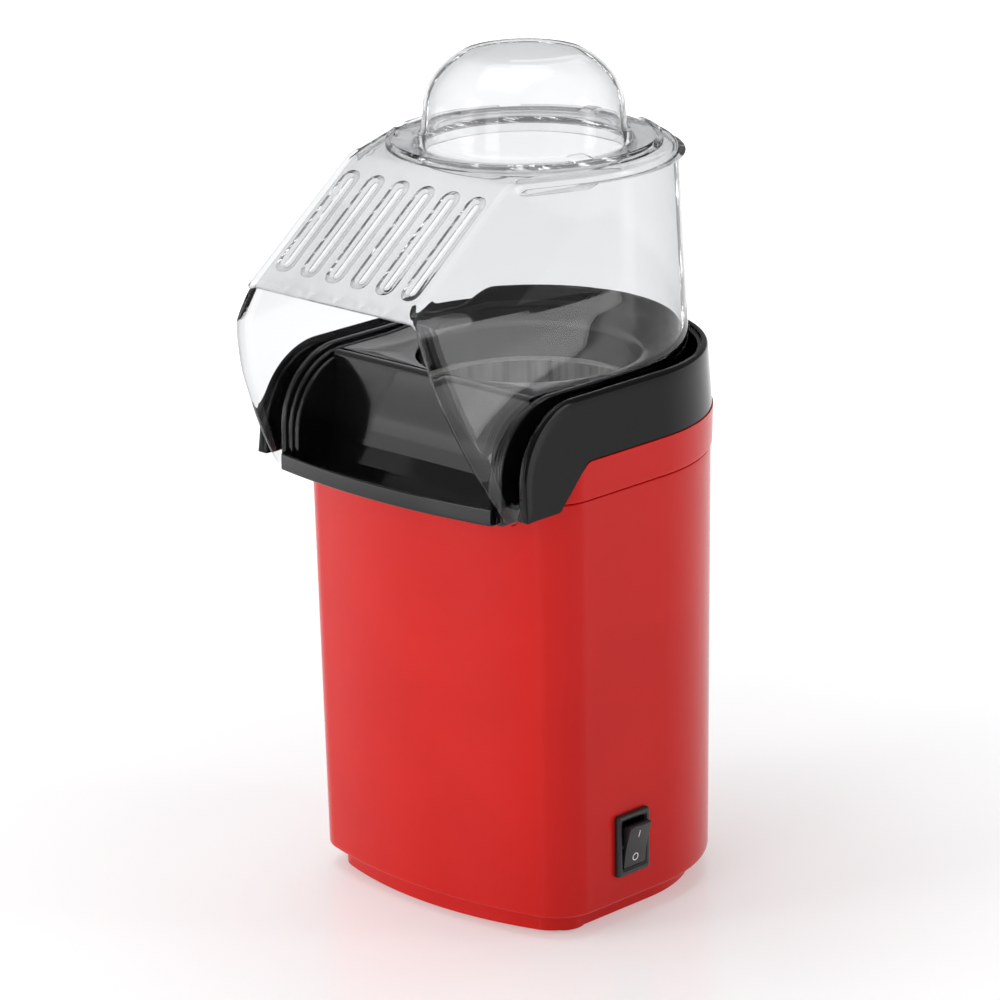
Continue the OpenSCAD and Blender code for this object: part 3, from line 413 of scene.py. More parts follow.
def jamb(rowLow, rowHigh, colPair):
    # the four sides of a hole between the outer and the inner wall
    a, b = min(colPair), max(colPair)
    cells = [(rowLow, c) for c in range(a, b + 1)]
    cells += [(r, b) for r in range(rowLow + 1, rowHigh + 1)]
    cells += [(rowHigh, c) for c in range(b - 1, a - 1, -1)]
    cells += [(r, a) for r in range(rowHigh - 1, rowLow - 1, -1)]
    rows, cols = np.array(cells).T
    return stack([outer[rows, cols], inner[rows - firstRow + 1, cols]])


redBody = buildPiece("redBody", [
    (outer, False, True, holeMask(len(outer), 0)),
    (inner, False, True, holeMask(len(inner), firstRow - 1)),
    (stack([outer[0], inner[0]]), False, True),
    (stack([outer[-1], inner[-1]]), False, True),
    (jamb(rowOf[holeShares[0]], rowOf[holeShares[3]], switchCols), False, False),
    (jamb(rowOf[holeShares[1]], rowOf[holeShares[2]], inletCols), False, False)],
    "root", redPlastic, ["body_shell"], 35)
print("red body done")

# red band above the seam: the plan drawn a little proud, carrying a closed section of
# rounded foot, straight face and thick back; each loop is scaled by 1 + flare * height
band = {"proud": 0.5, "edge": 0.45, "gap": 0.25, "wall": 2.6, "tuck": 1.4, "drop": 0.7,
    "flare": 0.0067, "fullHeight": 12.9}


def bandLoop(inset):
    proud = band["proud"]
    return planLoop(body["r"] * leanK + proud - inset, body["front"] * leanK + proud - inset,
        body["corner"] - inset, body["bow"], body["switchY"])


bandLine = bandLoop(0)
bandTop = np.minimum(bandTopZ, blackLineZ(bandLine[:, 1])) - body["lineGap"]
# in front, where the black comes down past it, the band shrinks to a thread inside the wall
inFront = bandLine[:, 1] < notchY - 0.3
bandTop = np.where(inFront, chuteLowZ - band["drop"], bandTop)
tuck = np.where(inFront, band["tuck"], 0.0)
bandLow = np.minimum(seamZ + band["gap"], bandTop - 0.05)
bandHeight = np.maximum(bandTop - bandLow, 0.04)
edge = band["edge"]
bandProfile = [(edge * (1 - sin(t)), 0, edge * (1 - cos(t))) for t in quarter]
bandProfile += [(0, s, 0) for s in linspace(0.15, 1, 6)]
bandProfile += [(band["wall"], s, 0) for s in (1, 0.5, 0)]
bandRows = []
for inset, share, lift in bandProfile:
    flare = 1 + band["flare"] * (share * bandHeight / band["fullHeight"])
    threaded = bandLoop(inset) * (1 - tuck / np.hypot(*bandLine.T))[:, None]
    z = bandLow + share * bandHeight + np.minimum(lift, 0.4 * bandHeight)
    bandRows.append(concatenate([threaded * flare[:, None], z[:, None]], -1))
redBand = buildPiece("redBand", [(stack(bandRows), True, True)], "root", redPlastic,
    ["upper_band"], 35)
print("red band done")

# the U-shaped walls of the black top
shoulder = {"y": -40.0, "z": 157.0, "r": 24.5, "footGap": 0.4, "rearR": 60.0, "fullLength": 9,
    "rearSteps": 96, "sideSteps": 18, "arcSteps": 34, "dropSteps": 8, "lowSteps": 200}


def wallStations(lowLine, frontLowZ):
    # stations of a U-shaped wall as (y, z) of the top in front, (y, z) of the foot in front,
    # and y along the straight sides; in front the top runs over the shoulder's arc and down
    # to the corner while the foot follows the low line, so the strips fan out
    arc = arcPoints(shoulder["y"], shoulder["z"], shoulder["r"], 180, 90, shoulder["arcSteps"])
    dropSteps = shoulder["dropSteps"]
    dropZ = linspace(frontLowZ + shoulder["footGap"], arc[0, 1], dropSteps + 1)[:-1]
    drop = stack([np.full(dropSteps, arc[0, 0]), dropZ], -1)
    front = concatenate([drop, arc])
    run = concatenate([[0], np.cumsum(np.linalg.norm(np.diff(front, axis=0), axis=1))])
    low = resample(lowLine, shoulder["lowSteps"])
    reach = linspace(0, 1, shoulder["lowSteps"])
    share = run / run[-1]
    foot = stack([np.interp(share, reach, low[:, k]) for k in range(2)], -1)
    sideY = linspace(shoulder["y"], 0, shoulder["sideSteps"] + 1)[1:]
    return front, foot, sideY


def wallSurface(profile, lowLine, sideLowZ, frontLowZ, outerR):
    # point = top + way down * depth and x = outside - inset, with profile(y, length) giving
    # the section as (depth, inset); behind, the same section is turned about the axis
    front, foot, sideY = wallStations(lowLine, frontLowZ)
    top = concatenate([front, stack([sideY, np.full(len(sideY), ringTopZ)], -1)])
    low = concatenate([foot, stack([sideY, sideLowZ(sideY)], -1)])
    down = low - top
    length = np.linalg.norm(down, axis=1)
    down = down / length[:, None]
    section = profile(top[:, 0], length)
    yz = top[:, None] + down[:, None] * section[..., :1]
    x = outerR(yz[..., 1]) - section[..., 1]
    right = stack([x, yz[..., 0], yz[..., 1]], -1)
    left = right * np.array([-1, 1, 1])
    angle = radians(linspace(0, 180, shoulder["rearSteps"] + 1)[1:-1])
    rearY = shoulder["rearR"] * np.sin(angle)
    rearLow = sideLowZ(rearY)
    rearSection = profile(rearY, ringTopZ - rearLow)
    z = ringTopZ - rearSection[..., 0]
    r = outerR(z) - rearSection[..., 1]
    return concatenate([right, turned(r, angle[:, None], z), left[::-1]])


def closedStrip(surface):
    # a strip that runs from one front corner to the other, with a flat end cap at each
    ends = []
    for k in (0, -1):
        section = surface[k]
        middle = np.broadcast_to(section.mean(0), section.shape)
        ends.append((stack([section, middle]), False, True))
    return [(surface, False, True)] + ends


def squash(length):
    # a section shorter than the usual one is squashed
    return np.clip(length / shoulder["fullLength"], 0.05, 1)


# black ring: the U-shaped wall, outside radius falling evenly from foot to top
ring = {"wall": 3.6, "ledge": 1.5, "lip": 1.5, "floor": 2.0, "narrow": 2.1, "inset": 0.05,
    "floorReach": 5.15, "floorFrom": -50.4, "floorTo": -49.0}


def ringOuter(z):
    return ringR - ring["inset"] - ring["narrow"] * (z - ringLowZ) / (ringTopZ - ringLowZ)


def ringProfile(y, length):
    # rounded outer edge, a ledge inside it, and a floor that reaches in under the hood; the
    # shape lists (distance from the top or from the foot, inset, which of the two)
    lip, ledge, wallW = ring["lip"], ring["ledge"], ring["wall"]
    k = squash(length)
    reaching = smooth(ring["floorFrom"], ring["floorTo"], y)
    floorWidth = (ring["floorReach"] + wallW) * reaching + wallW * (1 - reaching)
    quarterTurn = radians(linspace(0, 90, 7))
    shape = [(1.0, 0.25, "low"), (0.5, 0.0, "low"), (6, 0.0, "high")]
    shape += [(lip * (1 - sin(t)), lip * (1 - cos(t)), "high") for t in quarterTurn]
    shape += [(0.12, lip + 0.35, "high"), (0.5, lip + 0.62, "high"),
        (ledge - 0.35, lip + 0.72, "high"), (ledge, lip + 1.0, "high"),
        (ledge, wallW - 0.55, "high"), (ledge + 0.2, wallW - 0.15, "high"),
        (ledge + 0.7, wallW, "high")]
    down = [np.full_like(length, d) * k if kind == "high" else length - d * 0.5 * k
        for d, n, kind in shape]
    inset = [np.full_like(length, n) for d, n, kind in shape]
    floor = np.maximum(length - ring["floor"], (ledge + 0.9) * k)
    down += [floor - 0.3 * k, floor, floor, length, length]
    inset += [np.full_like(length, wallW), np.full_like(length, wallW) + 0.3, floorWidth,
        floorWidth, np.full_like(length, 0.6)]
    return stack([stack(down, -1), stack(inset, -1)], -1)


def ringLow(y):
    return np.where(y < notchY + lineRun, blackLineZ(y), bandTopZ)


lowLine = roundPath([(-64.2, ringLowZ), (notchY, ringLowZ), (shoulder["y"], 155.75)],
    [0, 0.8, 0], 5)
ringSurface = wallSurface(ringProfile, lowLine, ringLow, ringLowZ, ringOuter)
blackRing = buildPiece("blackRing", closedStrip(ringSurface), "root", ringGloss, ["top_trim"],
    50)
print("black ring done")

# chute wall: the U-shaped wall again, at an even outside width, with stepped cheeks in front
# and the guard rising behind
cheek = {"lobe": 2.1, "steps": (0.0, 1.6, 3.0), "gap": 0.1, "lobeRise": 0.8, "foot": 1.8,
    "guardFrom": 18.0, "guardTo": 33.0}


def chuteOuter(z):
    return np.full_like(z, chuteR - 0.02)


def lobeInset(y):
    # the cheeks narrow to about a third of their width toward the back
    return 1 - 0.66 * smooth(-22.0, 8.0, y)


def chuteProfile(y, length):
    # three rounded ridges side by side, each lower than the one outside it, every ridge
    # height = rise * (1 - sine to the 0.6) of the half turn across it
    k = squash(length)
    narrow = lobeInset(y)
    rise = (guardZ - ringTopZ - 0.02) * smooth(cheek["guardFrom"], cheek["guardTo"], y)
    down, inset = [length - 0.4 * k, length * 0.6], [np.zeros_like(length)] * 2
    for number, drop in enumerate(cheek["steps"]):
        start = number * (cheek["lobe"] + cheek["gap"])
        for t in linspace(0, pi, 9):
            across = start + cheek["lobe"] * (1 - cos(t)) / 2
            dip = 1 - sin(t) ** 0.6 if 0 < t < pi else 1
            height = (drop + cheek["lobeRise"] * dip + (0.5 if number and t == 0 else 0)) * k
            down.append(height * (0.35 + 0.65 * narrow if number else 1)
                - rise * (1 if number == 0 else 0.25))
            inset.append(np.full_like(length, across) * narrow)
    wide = 3 * cheek["lobe"] + 2 * cheek["gap"]
    foot = np.minimum((cheek["steps"][2] + cheek["foot"]) * k, length)
    down += [foot, length * 0.75, length - 0.1 * k]
    inset += [np.full_like(length, wide) * narrow] * 3
    return stack([stack(down, -1), stack(inset, -1)], -1)


def chuteLow(y):
    slanted = np.interp(y, [-54.0, -36.8], [chuteLowZ, bandTopZ])
    return np.where(y < -35.0, slanted, bandTopZ)


shoulderLow = float(chuteLow(np.array(shoulder["y"])))
chuteLine = np.array([(-64.3, chuteLowZ), (-54.0, chuteLowZ), (shoulder["y"], shoulderLow)])
chuteWall = wallSurface(chuteProfile, chuteLine, chuteLow, chuteLowZ, chuteOuter)
cheekParts = closedStrip(chuteWall)

# funnel dish and collar: rings about the axis; radius = collar + (U-shaped edge - collar) * f
# and z = collar edge + rise * f to the 1.5, then a rolled edge, the collar and the underside
dish = {"collarR": 36.0, "edgeZ": 178.0, "rimZ": ringTopZ - 1.5, "frontY": -41.6, "midZ": 172.0,
    "lowZ": 166.0, "wall": 1.8, "roll": 1.6, "under": 3.0, "startR": 60.0}
dishAngles = radians(linspace(0, 360, 241)[:-1])
cosA, sinA = np.cos(dishAngles), np.sin(dishAngles)


def dishReach(cosA, sinA):
    # distance to the U-shaped edge: circle behind, straight sides, straight front; the edge
    # depends on depth, so the distance is found by repeating
    radius = np.full_like(cosA, dish["startR"])
    ahead = np.where(sinA < 0, dish["frontY"] / np.minimum(sinA, -1e-6), 1e9)
    for _ in range(8):
        y = radius * sinA
        side = chuteR - (6.5 * lobeInset(y) - 0.5)
        beside = np.where(y < 0, side / np.maximum(np.abs(cosA), 1e-6), side)
        radius = np.minimum(beside, ahead)
    return radius


reachA = dishReach(cosA, sinA)
collarR, roll, dishWall, edgeZ = dish["collarR"], dish["roll"], dish["wall"], dish["edgeZ"]
dishRows = [(collarR + roll + (reachA - collarR - roll) * f,
    edgeZ + (dish["rimZ"] - edgeZ) * f ** 1.5) for f in linspace(1, 0, 16)]
dishRows += [(collarR + roll * (1 - sin(t)), edgeZ - roll * (1 - cos(t)))
    for t in radians(linspace(10, 90, 8))]
dishRows += [(collarR, dish["midZ"]), (collarR, dish["lowZ"] + 0.4),
    (collarR + 0.4, dish["lowZ"]), (collarR + dishWall, dish["lowZ"]),
    (collarR + dishWall, edgeZ - dish["under"])]
dishRows += [(collarR + dishWall + (reachA - collarR - dishWall) * f,
    edgeZ - dish["under"] + (dish["rimZ"] - edgeZ + 1.0) * f) for f in (0.3, 0.7, 1.0)]
dishGrid = stack([turned(r, dishAngles, z) for r, z in dishRows])

# front wall and tray: one closed section in y and z, carried across in x; forward of the
# wall it widens, and y moves forward by bow * (1 - x squared)
tray = {"half": 43.6, "wide": 46.9, "bow": 4.35, "rimZ": 149.4, "floorZ": 145.8, "lipX": 45.0}
trayPath = roundPath([(-40.5, ringTopZ - 2.0), (-45.2, ringTopZ - 1.0), (-45.9, 160.0),
    (-47.4, 152.6), (-49.6, tray["floorZ"]), (-65.0, tray["floorZ"]),
    (-65.4, tray["rimZ"]), (-66.9, tray["rimZ"]), (-67.1, chuteLowZ),
    (-52.0, chuteLowZ), (-44.2, 158.0), (-43.2, 176.0), (-40.5, 178.0)],
    [0, 2.4, 5, 4, 3, 2.0, 0.6, 0.6, 1.0, 1, 4, 2, 0], 7)
trayX = concatenate([[-1], np.sin(linspace(-0.5, 0.5, 81) * pi)[1:-1], [1]])
pathY, pathZ = trayPath[:, 0], trayPath[:, 1]
forward = smooth(-50.0, -60.0, pathY)
halfWidth = tray["half"] + (tray["wide"] - tray["half"]) * smooth(-52.0, -58.0, pathY)
gridX = trayX[:, None] * halfWidth[None]
trayBow = tray["bow"] * (1 - trayX[:, None] ** 2)
gridY = pathY[None] - trayBow * forward[None]
# at each end the tray's floor is raised to its rim
onFloor = (pathZ < tray["rimZ"] - 0.2) & (pathZ > tray["floorZ"] - 0.3) & (pathY < -58)
sideLip = smooth(tray["lipX"], tray["lipX"] + 1, np.abs(gridX)) * onFloor[None]
gridZ = pathZ[None] + (tray["rimZ"] - pathZ[None]) * sideLip * smooth(-67.0, -66.0, gridY + trayBow)
trayGrid = stack([gridX, gridY, gridZ], -1)
blackChute = buildPiece("blackChute",
    cheekParts + [(dishGrid, True, True)] + closedStrip(trayGrid),
    "root", blackGloss, ["chute"], 50)
print("black chute done")

# clear hood: an open sheet of crease, walls and panels, thickened inward
hood = {"lowR": 52.906, "topR": 49.406, "topZ": 247.6, "lowZ": 162.7, "wall": 2.0,
    "half": 36.6, "splay": 0.6, "round": 3.2, "bend": 3.6, "bendY": -43.0, "footY": -89.0,
    "footZ": 212.6, "holeR": 34.4, "slots": 6, "pitch": 11.1, "slotR": 1.9, "slotEnd": 11.0}
slopeRun = hypot(hood["bendY"] - hood["footY"], hood["topZ"] - hood["footZ"])
slopeDir = np.array([hood["bendY"] - hood["footY"], hood["topZ"] - hood["footZ"]]) / slopeRun
slopeNormal = np.array([-slopeDir[1], slopeDir[0]])


def hoodRadius(z):
    share = (z - hood["lowZ"]) / (hood["topZ"] - hood["lowZ"])
    return hood["lowR"] + (hood["topR"] - hood["lowR"]) * share


def bezier(a, b, c, steps):
    # rows of a quadratic curve from a to c with b as its corner
    t = linspace(0, 1, steps).reshape((-1,) + (1,) * a.ndim)
    return (1 - t) ** 2 * a + 2 * t * (1 - t) * b + t ** 2 * c


# side profile of the crease: up the slope, round the bend, onto the top
slopeSteps, bendSteps, backSteps = 27, 5, 109
lastSlope, lastBend = slopeSteps - 1, slopeSteps + bendSteps - 1
runs = linspace(0, slopeRun - hood["bend"], slopeSteps)
foot = np.array([hood["footY"], hood["footZ"]])
slopeYz = foot + runs[:, None] * slopeDir
corner = foot + slopeRun * slopeDir
bendEnd = corner + np.array([hood["bend"], 0])
creaseYz = concatenate([slopeYz, bezier(slopeYz[-1], corner, bendEnd, bendSteps + 1)[1:]])
creaseTurn = concatenate([np.zeros(slopeSteps), linspace(0, 1, bendSteps + 1)[1:]])
creaseN = slopeNormal * (1 - creaseTurn[:, None]) + np.array([0, 1.0]) * creaseTurn[:, None]
creaseRun = concatenate([runs, np.full(bendSteps, slopeRun)])
creaseX = hood["half"] + hood["splay"] * np.clip(1 - creaseRun / slopeRun, 0, 1)
crease = column_stack([creaseX, creaseYz])

# the top's outline: from the crease along a tangent to the half circle, round it and back
topY, topReach = crease[-1, 1], hypot(crease[-1, 0], crease[-1, 1])
topAngle = atan2(topY, crease[-1, 0]) + acos(hood["topR"] / topReach)
tangentPoint = hood["topR"] * np.array([cos(topAngle), sin(topAngle)])
straight = linspace(crease[-1, :2], tangentPoint, 14)[1:]
around = linspace(topAngle, pi - topAngle, backSteps)[1:]
roundLine = hood["topR"] * column_stack([np.cos(around), np.sin(around)])
leftStraight = straight[:-1][::-1] * [-1, 1]
topLine = concatenate([straight, roundLine, leftStraight])
turns = concatenate([np.full(len(straight), topAngle), around])
leftOut = np.broadcast_to([-cos(topAngle), sin(topAngle)], leftStraight.shape)
outward = concatenate([column_stack([np.cos(turns), np.sin(turns)]), leftOut])
rightN = column_stack([1 - creaseTurn * (1 - cos(topAngle)),
    creaseTurn * sin(topAngle)])
mirror = np.array([-1, 1, 1])

# crease: a quadratic curve from the wall's edge, by the corner line, to the panels' edge,
# carried from one slope foot to the other
reach = hood["round"]
topCrease = column_stack([topLine, np.full(len(topLine), hood["topZ"])])
cornerLine = concatenate([crease, topCrease, crease[::-1] * mirror])
wallEdgeRight = column_stack([creaseX + 0.1 * reach, creaseYz - reach * creaseN])
wallEdge = concatenate([wallEdgeRight, topCrease - [0, 0, reach],
    wallEdgeRight[::-1] * mirror])
panelEdgeRight = column_stack([crease[:, :2] - reach * rightN, crease[:, 2]])
topInset = reach * column_stack([outward, np.zeros(len(outward))])
panelEdge = concatenate([panelEdgeRight, topCrease - topInset,
    panelEdgeRight[::-1] * mirror])
creaseStrip = bezier(wallEdge, cornerLine, panelEdge, 7)

# walls: at each level a straight line from the front edge to the tangent of the half circle,
# then round it; radius and level both fall from top to foot
frontCorners = [(hood["footY"] + 0.6 * reach, hood["footZ"] - 0.8 * reach), (-88.4, 198.6),
    (-83.4, 181.6), (-76.0, 165.6), (-71.2, 156.6)]
frontPath = concatenate([roundPath(frontCorners, [0, 6, 6, 6, 0], 5),
    arcPoints(-61.6, 147.6, 3.7, 200, 325, 9),
    [(-52.0, 154.2), (-38.3, hood["lowZ"])]])
frontPath = resample(frontPath, 64)[1:]
frontX = np.interp(frontPath[:, 1], [143, 150.8, 166.5, 181.6, 198.6, 210.5],
    [52.0, 51.9, 49.2, 46.8, 43.3, 37.5])
edgeYz = concatenate([creaseYz[::-1] - reach * creaseN[::-1], frontPath])
edgeX = concatenate([wallEdgeRight[::-1, 0], frontX])
creaseLevels = edgeYz[:len(creaseYz), 1]
frontLevels = np.interp(np.arange(len(frontPath)), [0, len(frontPath) - 1],
    [creaseLevels[-1] - 0.8, hood["lowZ"]])
levels = concatenate([creaseLevels, frontLevels])
rearR = hoodRadius(levels)
edgeReach = np.hypot(edgeX, edgeYz[:, 0])
tangentA = np.arctan2(edgeYz[:, 0], edgeX) + np.arccos(np.minimum(rearR / edgeReach, 1))
start = column_stack([edgeX, edgeYz])[:, None]
end = turned(rearR, tangentA, levels)[:, None]
flank = start + (end - start) * linspace(0, 1, 14)[None, :, None]
spinShare = linspace(0, 1, backSteps)[None, 1:]
spin = tangentA[:, None] + (pi - 2 * tangentA)[:, None] * spinShare
rearWall = turned(rearR[:, None], spin, levels[:, None])
wallGrid = concatenate([flank, rearWall, (flank[:, :-1] * mirror)[:, ::-1]], axis=1)

# slope: rings round each slot, point = spine + way out * (slot radius + distance), lifted
# at the lip, out to the border of the slot's cell
panelNormal = np.array([0, slopeNormal[0], slopeNormal[1]])


def onSlope(x, run, lift=0.0):
    # across by x, up the slope by run, out of it by lift
    yz = foot + np.asarray(run)[..., None] * slopeDir
    return concatenate([np.asarray(x)[..., None], yz], -1) + lift * panelNormal


halfPitch = hood["pitch"] / 2
acrossCell = linspace(-halfPitch, halfPitch, 7)[1:-1]
cellSide, cellEnd = np.full(slopeSteps, halfPitch), np.ones(len(acrossCell))
borderX = concatenate([cellSide, acrossCell[::-1], -cellSide, acrossCell])
borderRun = concatenate([runs, cellEnd * runs[-1], runs[::-1], cellEnd * runs[0]])
spine = np.clip(borderRun, hood["slotEnd"], slopeRun - hood["slotEnd"])
toward = column_stack([borderX, borderRun - spine])
toward = toward / np.linalg.norm(toward, axis=1)[:, None]
# (distance out from the slot, lift) of each ring of the lip
lipRings = [(0.0, 0.1), (0.06, 0.26), (0.22, 0.34), (0.42, 0.28), (0.6, 0.08), (0.8, 0.0)]
panelParts = []
for number in range(hood["slots"]):
    shift = (number - (hood["slots"] - 1) / 2) * hood["pitch"]
    rings = []
    for out, lift in lipRings:
        step = toward * (hood["slotR"] + out)
        rings.append(onSlope(shift + step[:, 0], spine + step[:, 1], lift))
    rings.append(onSlope(shift + borderX, borderRun))
    panelParts.append((stack(rings), False, True))
slopeHalf = hood["slots"] / 2 * hood["pitch"]
for side in (1, -1):
    strip = stack([onSlope(np.full(slopeSteps, side * slopeHalf), runs),
        panelEdgeRight[:slopeSteps] * [side, 1, 1]])
    panelParts.append((strip, False, False))

# bend: rows from edge to edge that follow the crease, drawn to the panels' edge by the
# eighth power of the share of x
bendEdge = panelEdgeRight[lastSlope:lastBend + 1]
edgeHalf = bendEdge[0, 0]
topX = concatenate([[-edgeHalf], linspace(-slopeHalf, slopeHalf, 37), [edgeHalf]])
bendX = topX[None] * (bendEdge[:, :1] / edgeHalf)
bendY = creaseYz[lastSlope:lastBend + 1, :1]
bendY = bendY + (bendEdge[:, 1:2] - bendY) * np.abs(topX / topX[-1]) ** 8
bendRows = stack([bendX, bendY, np.broadcast_to(bendEdge[:, 2:3], bendX.shape)], -1)
panelParts.append((bendRows, False, False))

# top plate: straight lines from the rim to the hole, point = hole + (rim - hole) * share
plateRim = concatenate([panelEdge[lastBend:len(panelEdge) - lastBend], bendRows[-1, 1:-1]])
plateR = np.hypot(plateRim[:, 0], plateRim[:, 1])
hole = column_stack([plateRim[:, :2] / plateR[:, None] * hood["holeR"], plateRim[:, 2]])
plateShare = linspace(0, 1, 5)[:, None, None]
panelParts.append((hole + (plateRim - hole) * plateShare, False, True))
hoodParts = [(creaseStrip, False, False), (wallGrid, False, False)] + panelParts
clearHood = buildPiece("clearHood", hoodParts, "hood", hoodClear, ["hood"], 32)


def faceOutward(piece, axis):
    # an open sheet is turned over when its outermost faces along the axis look inward
    mesh = piece.data
    centres, normals = (np.empty(len(mesh.polygons) * 3) for _ in range(2))
    mesh.polygons.foreach_get("center", centres)
    mesh.polygons.foreach_get("normal", normals)
    outermost = np.argsort(centres.reshape(-1, 3)[:, axis])[-40:]
    if normals.reshape(-1, 3)[outermost, axis].mean() < 0:
        mesh.flip_normals()


faceOutward(clearHood, 1)
shell = clearHood.modifiers.new("shell", "SOLIDIFY")
shell.thickness, shell.offset, shell.use_even_offset = hood["wall"] * mm, -1, False
print("clear hood done")

# notched ring on the hood's top: a closed section with eased upper edges turned about the
# axis, its height falling to the notch's over six short spans
notchRing = {"inner": 42.95, "outer": 44.55, "lowZ": 247.45, "highZ": 249.7, "notchZ": 248.2,
    "half": 3.5, "first": 20, "count": 6, "edge": 0.3, "step": 0.004}
inR, outR, highZ, notchZ = (notchRing[key] for key in ("inner", "outer", "highZ", "notchZ"))
spread, step = notchRing["half"] / outR, notchRing["step"]
turnStops, ringHeights = [], []
for number in range(notchRing["count"]):
    middle = math.radians(notchRing["first"] + number * 360 / notchRing["count"])
    turnStops += [middle - spread - step, middle - spread, middle + spread, middle + spread + step]
    ringHeights += [highZ, notchZ, notchZ, highZ]
    nextNotch = middle + pi * 2 / notchRing["count"] - spread - step
    between = linspace(middle + spread + step, nextNotch, 22)[1:-1]
    turnStops += list(between)
    ringHeights += [highZ] * len(between)
turnStops, ringHeights = np.array(turnStops), np.array(ringHeights)
edge = notchRing["edge"]
ringSection = [(inR, "low", 0), (inR, "high", -edge), (inR + edge, "high", 0),
    (outR - edge, "high", 0), (outR, "high", -edge), (outR, "low", 0)]
notchRows = []
for r, kind, lift in ringSection:
    z = np.full_like(ringHeights, notchRing["lowZ"]) if kind == "low" else ringHeights + lift
    notchRows.append(turned(r, turnStops, z))
capRing = buildPiece("capRing", [(stack(notchRows), True, True)], "hood", hoodClear,
    (), 30)
print("notched ring done")

# measuring cap: a closed section turned about the axis, its dome (width * cosine, height *
# sine), its skirt and flange below and the same line set in for the inside
cap = {"skirtR": 34.0, "skirtInR": 32.2, "seatZ": 247.9, "skirt": 4.6, "flangeR": 42.35,
    "flangeT": 1.7, "wall": 1.8, "flatR": 13.0, "topZ": 277.6, "domeZ": 258.7,
    "domeR": 32.4, "domeH": 22.8, "gripTurns": (100, 220, 340), "gripHalf": 3.0,
    "gripEase": 0.6, "gripR": 38, "gripH": 1.2, "turns": 360}
domeTurn = radians(linspace(0, 52.5, 22))


def dome(inset):
    return column_stack([(cap["domeR"] - inset) * np.cos(domeTurn),
        cap["domeZ"] + (cap["domeH"] - inset) * np.sin(domeTurn)])


seatZ, topZ, flatR, capWall = cap["seatZ"], cap["topZ"], cap["flatR"], cap["wall"]
flangeZ = seatZ + cap["flangeT"]
capLowerOut = roundPath([(cap["skirtInR"], seatZ - cap["skirt"]),
    (cap["skirtR"], seatZ - cap["skirt"]), (cap["skirtR"], seatZ),
    (cap["flangeR"], seatZ), (cap["flangeR"], flangeZ), (35.4, flangeZ),
    (33.6, seatZ + 3.2), (32.8, seatZ + 6)],
    [0, 0.7, 0.5, 0.6, 0.6, 1.2, 1.2, 0], 5)
capTopOut = bezier(dome(0)[-1], np.array([17.6, topZ]), np.array([flatR, topZ]), 7)[1:]
capTopIn = bezier(np.array([flatR, topZ - capWall]), np.array([16.4, topZ - capWall]),
    dome(capWall)[-1], 7)[:-1]
capCrown = [(6.0, topZ), (0.001, topZ), (0.001, topZ - capWall), (6.0, topZ - capWall)]
capProfile = concatenate([capLowerOut, dome(0), capTopOut, capCrown, capTopIn,
    dome(capWall)[::-1], [(30.9, seatZ + 4), (32.2, seatZ + 1)]])
capTurn = radians(linspace(0, 360, cap["turns"] + 1)[:-1])
capZ = np.repeat(capProfile[:, 1:], cap["turns"], axis=1)
# the three grips: a soft rise of the flange's upper face within a few degrees of each turn
onFlange = ((np.abs(capProfile[:, 1] - seatZ - cap["flangeT"]) < 0.3)
    & (capProfile[:, 0] > 35.6) & (capProfile[:, 0] < 41.9))
gripLow, gripHigh = cap["gripHalf"] - cap["gripEase"], cap["gripHalf"] + cap["gripEase"]
for turn in cap["gripTurns"]:
    degrees = np.abs((np.degrees(capTurn) - turn + 180) % 360 - 180)
    offset = degrees * math.radians(cap["gripR"])
    capZ += onFlange[:, None] * cap["gripH"] * (1 - smooth(gripLow, gripHigh, offset))[None]
capGrid = turned(capProfile[:, :1], capTurn, capZ)
clearCap = buildPiece("clearCap", [(capGrid, True, True)], "cap", capClear,
    ["measuring_cap"], 35)
print("clear cap done")

# rocker switch, leaning with the wall; sizes are half widths and half heights
switch = {"x": 57.496, "y": -16.0, "z": 27.3, "lean": 0.72, "bezel": (7.5, 10.5),
    "hole": (5.35, 8.25), "back": (6.5, 9.5), "depth": 13.0, "pivot": 1.0, "tilt": 12.0,
    "rocker": (5.0, 7.8), "markLow": -0.03, "markHigh": 0.035}


def switchPlace(points, tilt=0.0):
    # local x out of the wall, y along it, z up; the rocker is tipped about its pivot first
    points = np.asarray(points, float)
    turn = math.radians(tilt)
    x, y, z = points[..., 0], points[..., 1], points[..., 2]
    x, z = x * cos(turn) + z * sin(turn), -x * sin(turn) + z * cos(turn)
    if tilt:
        x = x + switch["pivot"]
    lean = math.radians(switch["lean"])
    x, z = x * cos(lean) + z * sin(lean), -x * sin(lean) + z * cos(lean)
    return stack([x + switch["x"], y + switch["y"], z + switch["z"]], -1)


def roundedFrame(halfY, halfZ, r, n=9):
    # closed loop of a rounded rectangle in y and z
    loops = []
    for cy, cz, a in ((1, 1, 0), (-1, 1, 90), (-1, -1, 180), (1, -1, 270)):
        t = radians(linspace(a, a + 90, n))
        loops.append(column_stack([cy * (halfY - r) + r * np.cos(t),
            cz * (halfZ - r) + r * np.sin(t)]))
    return concatenate(loops)


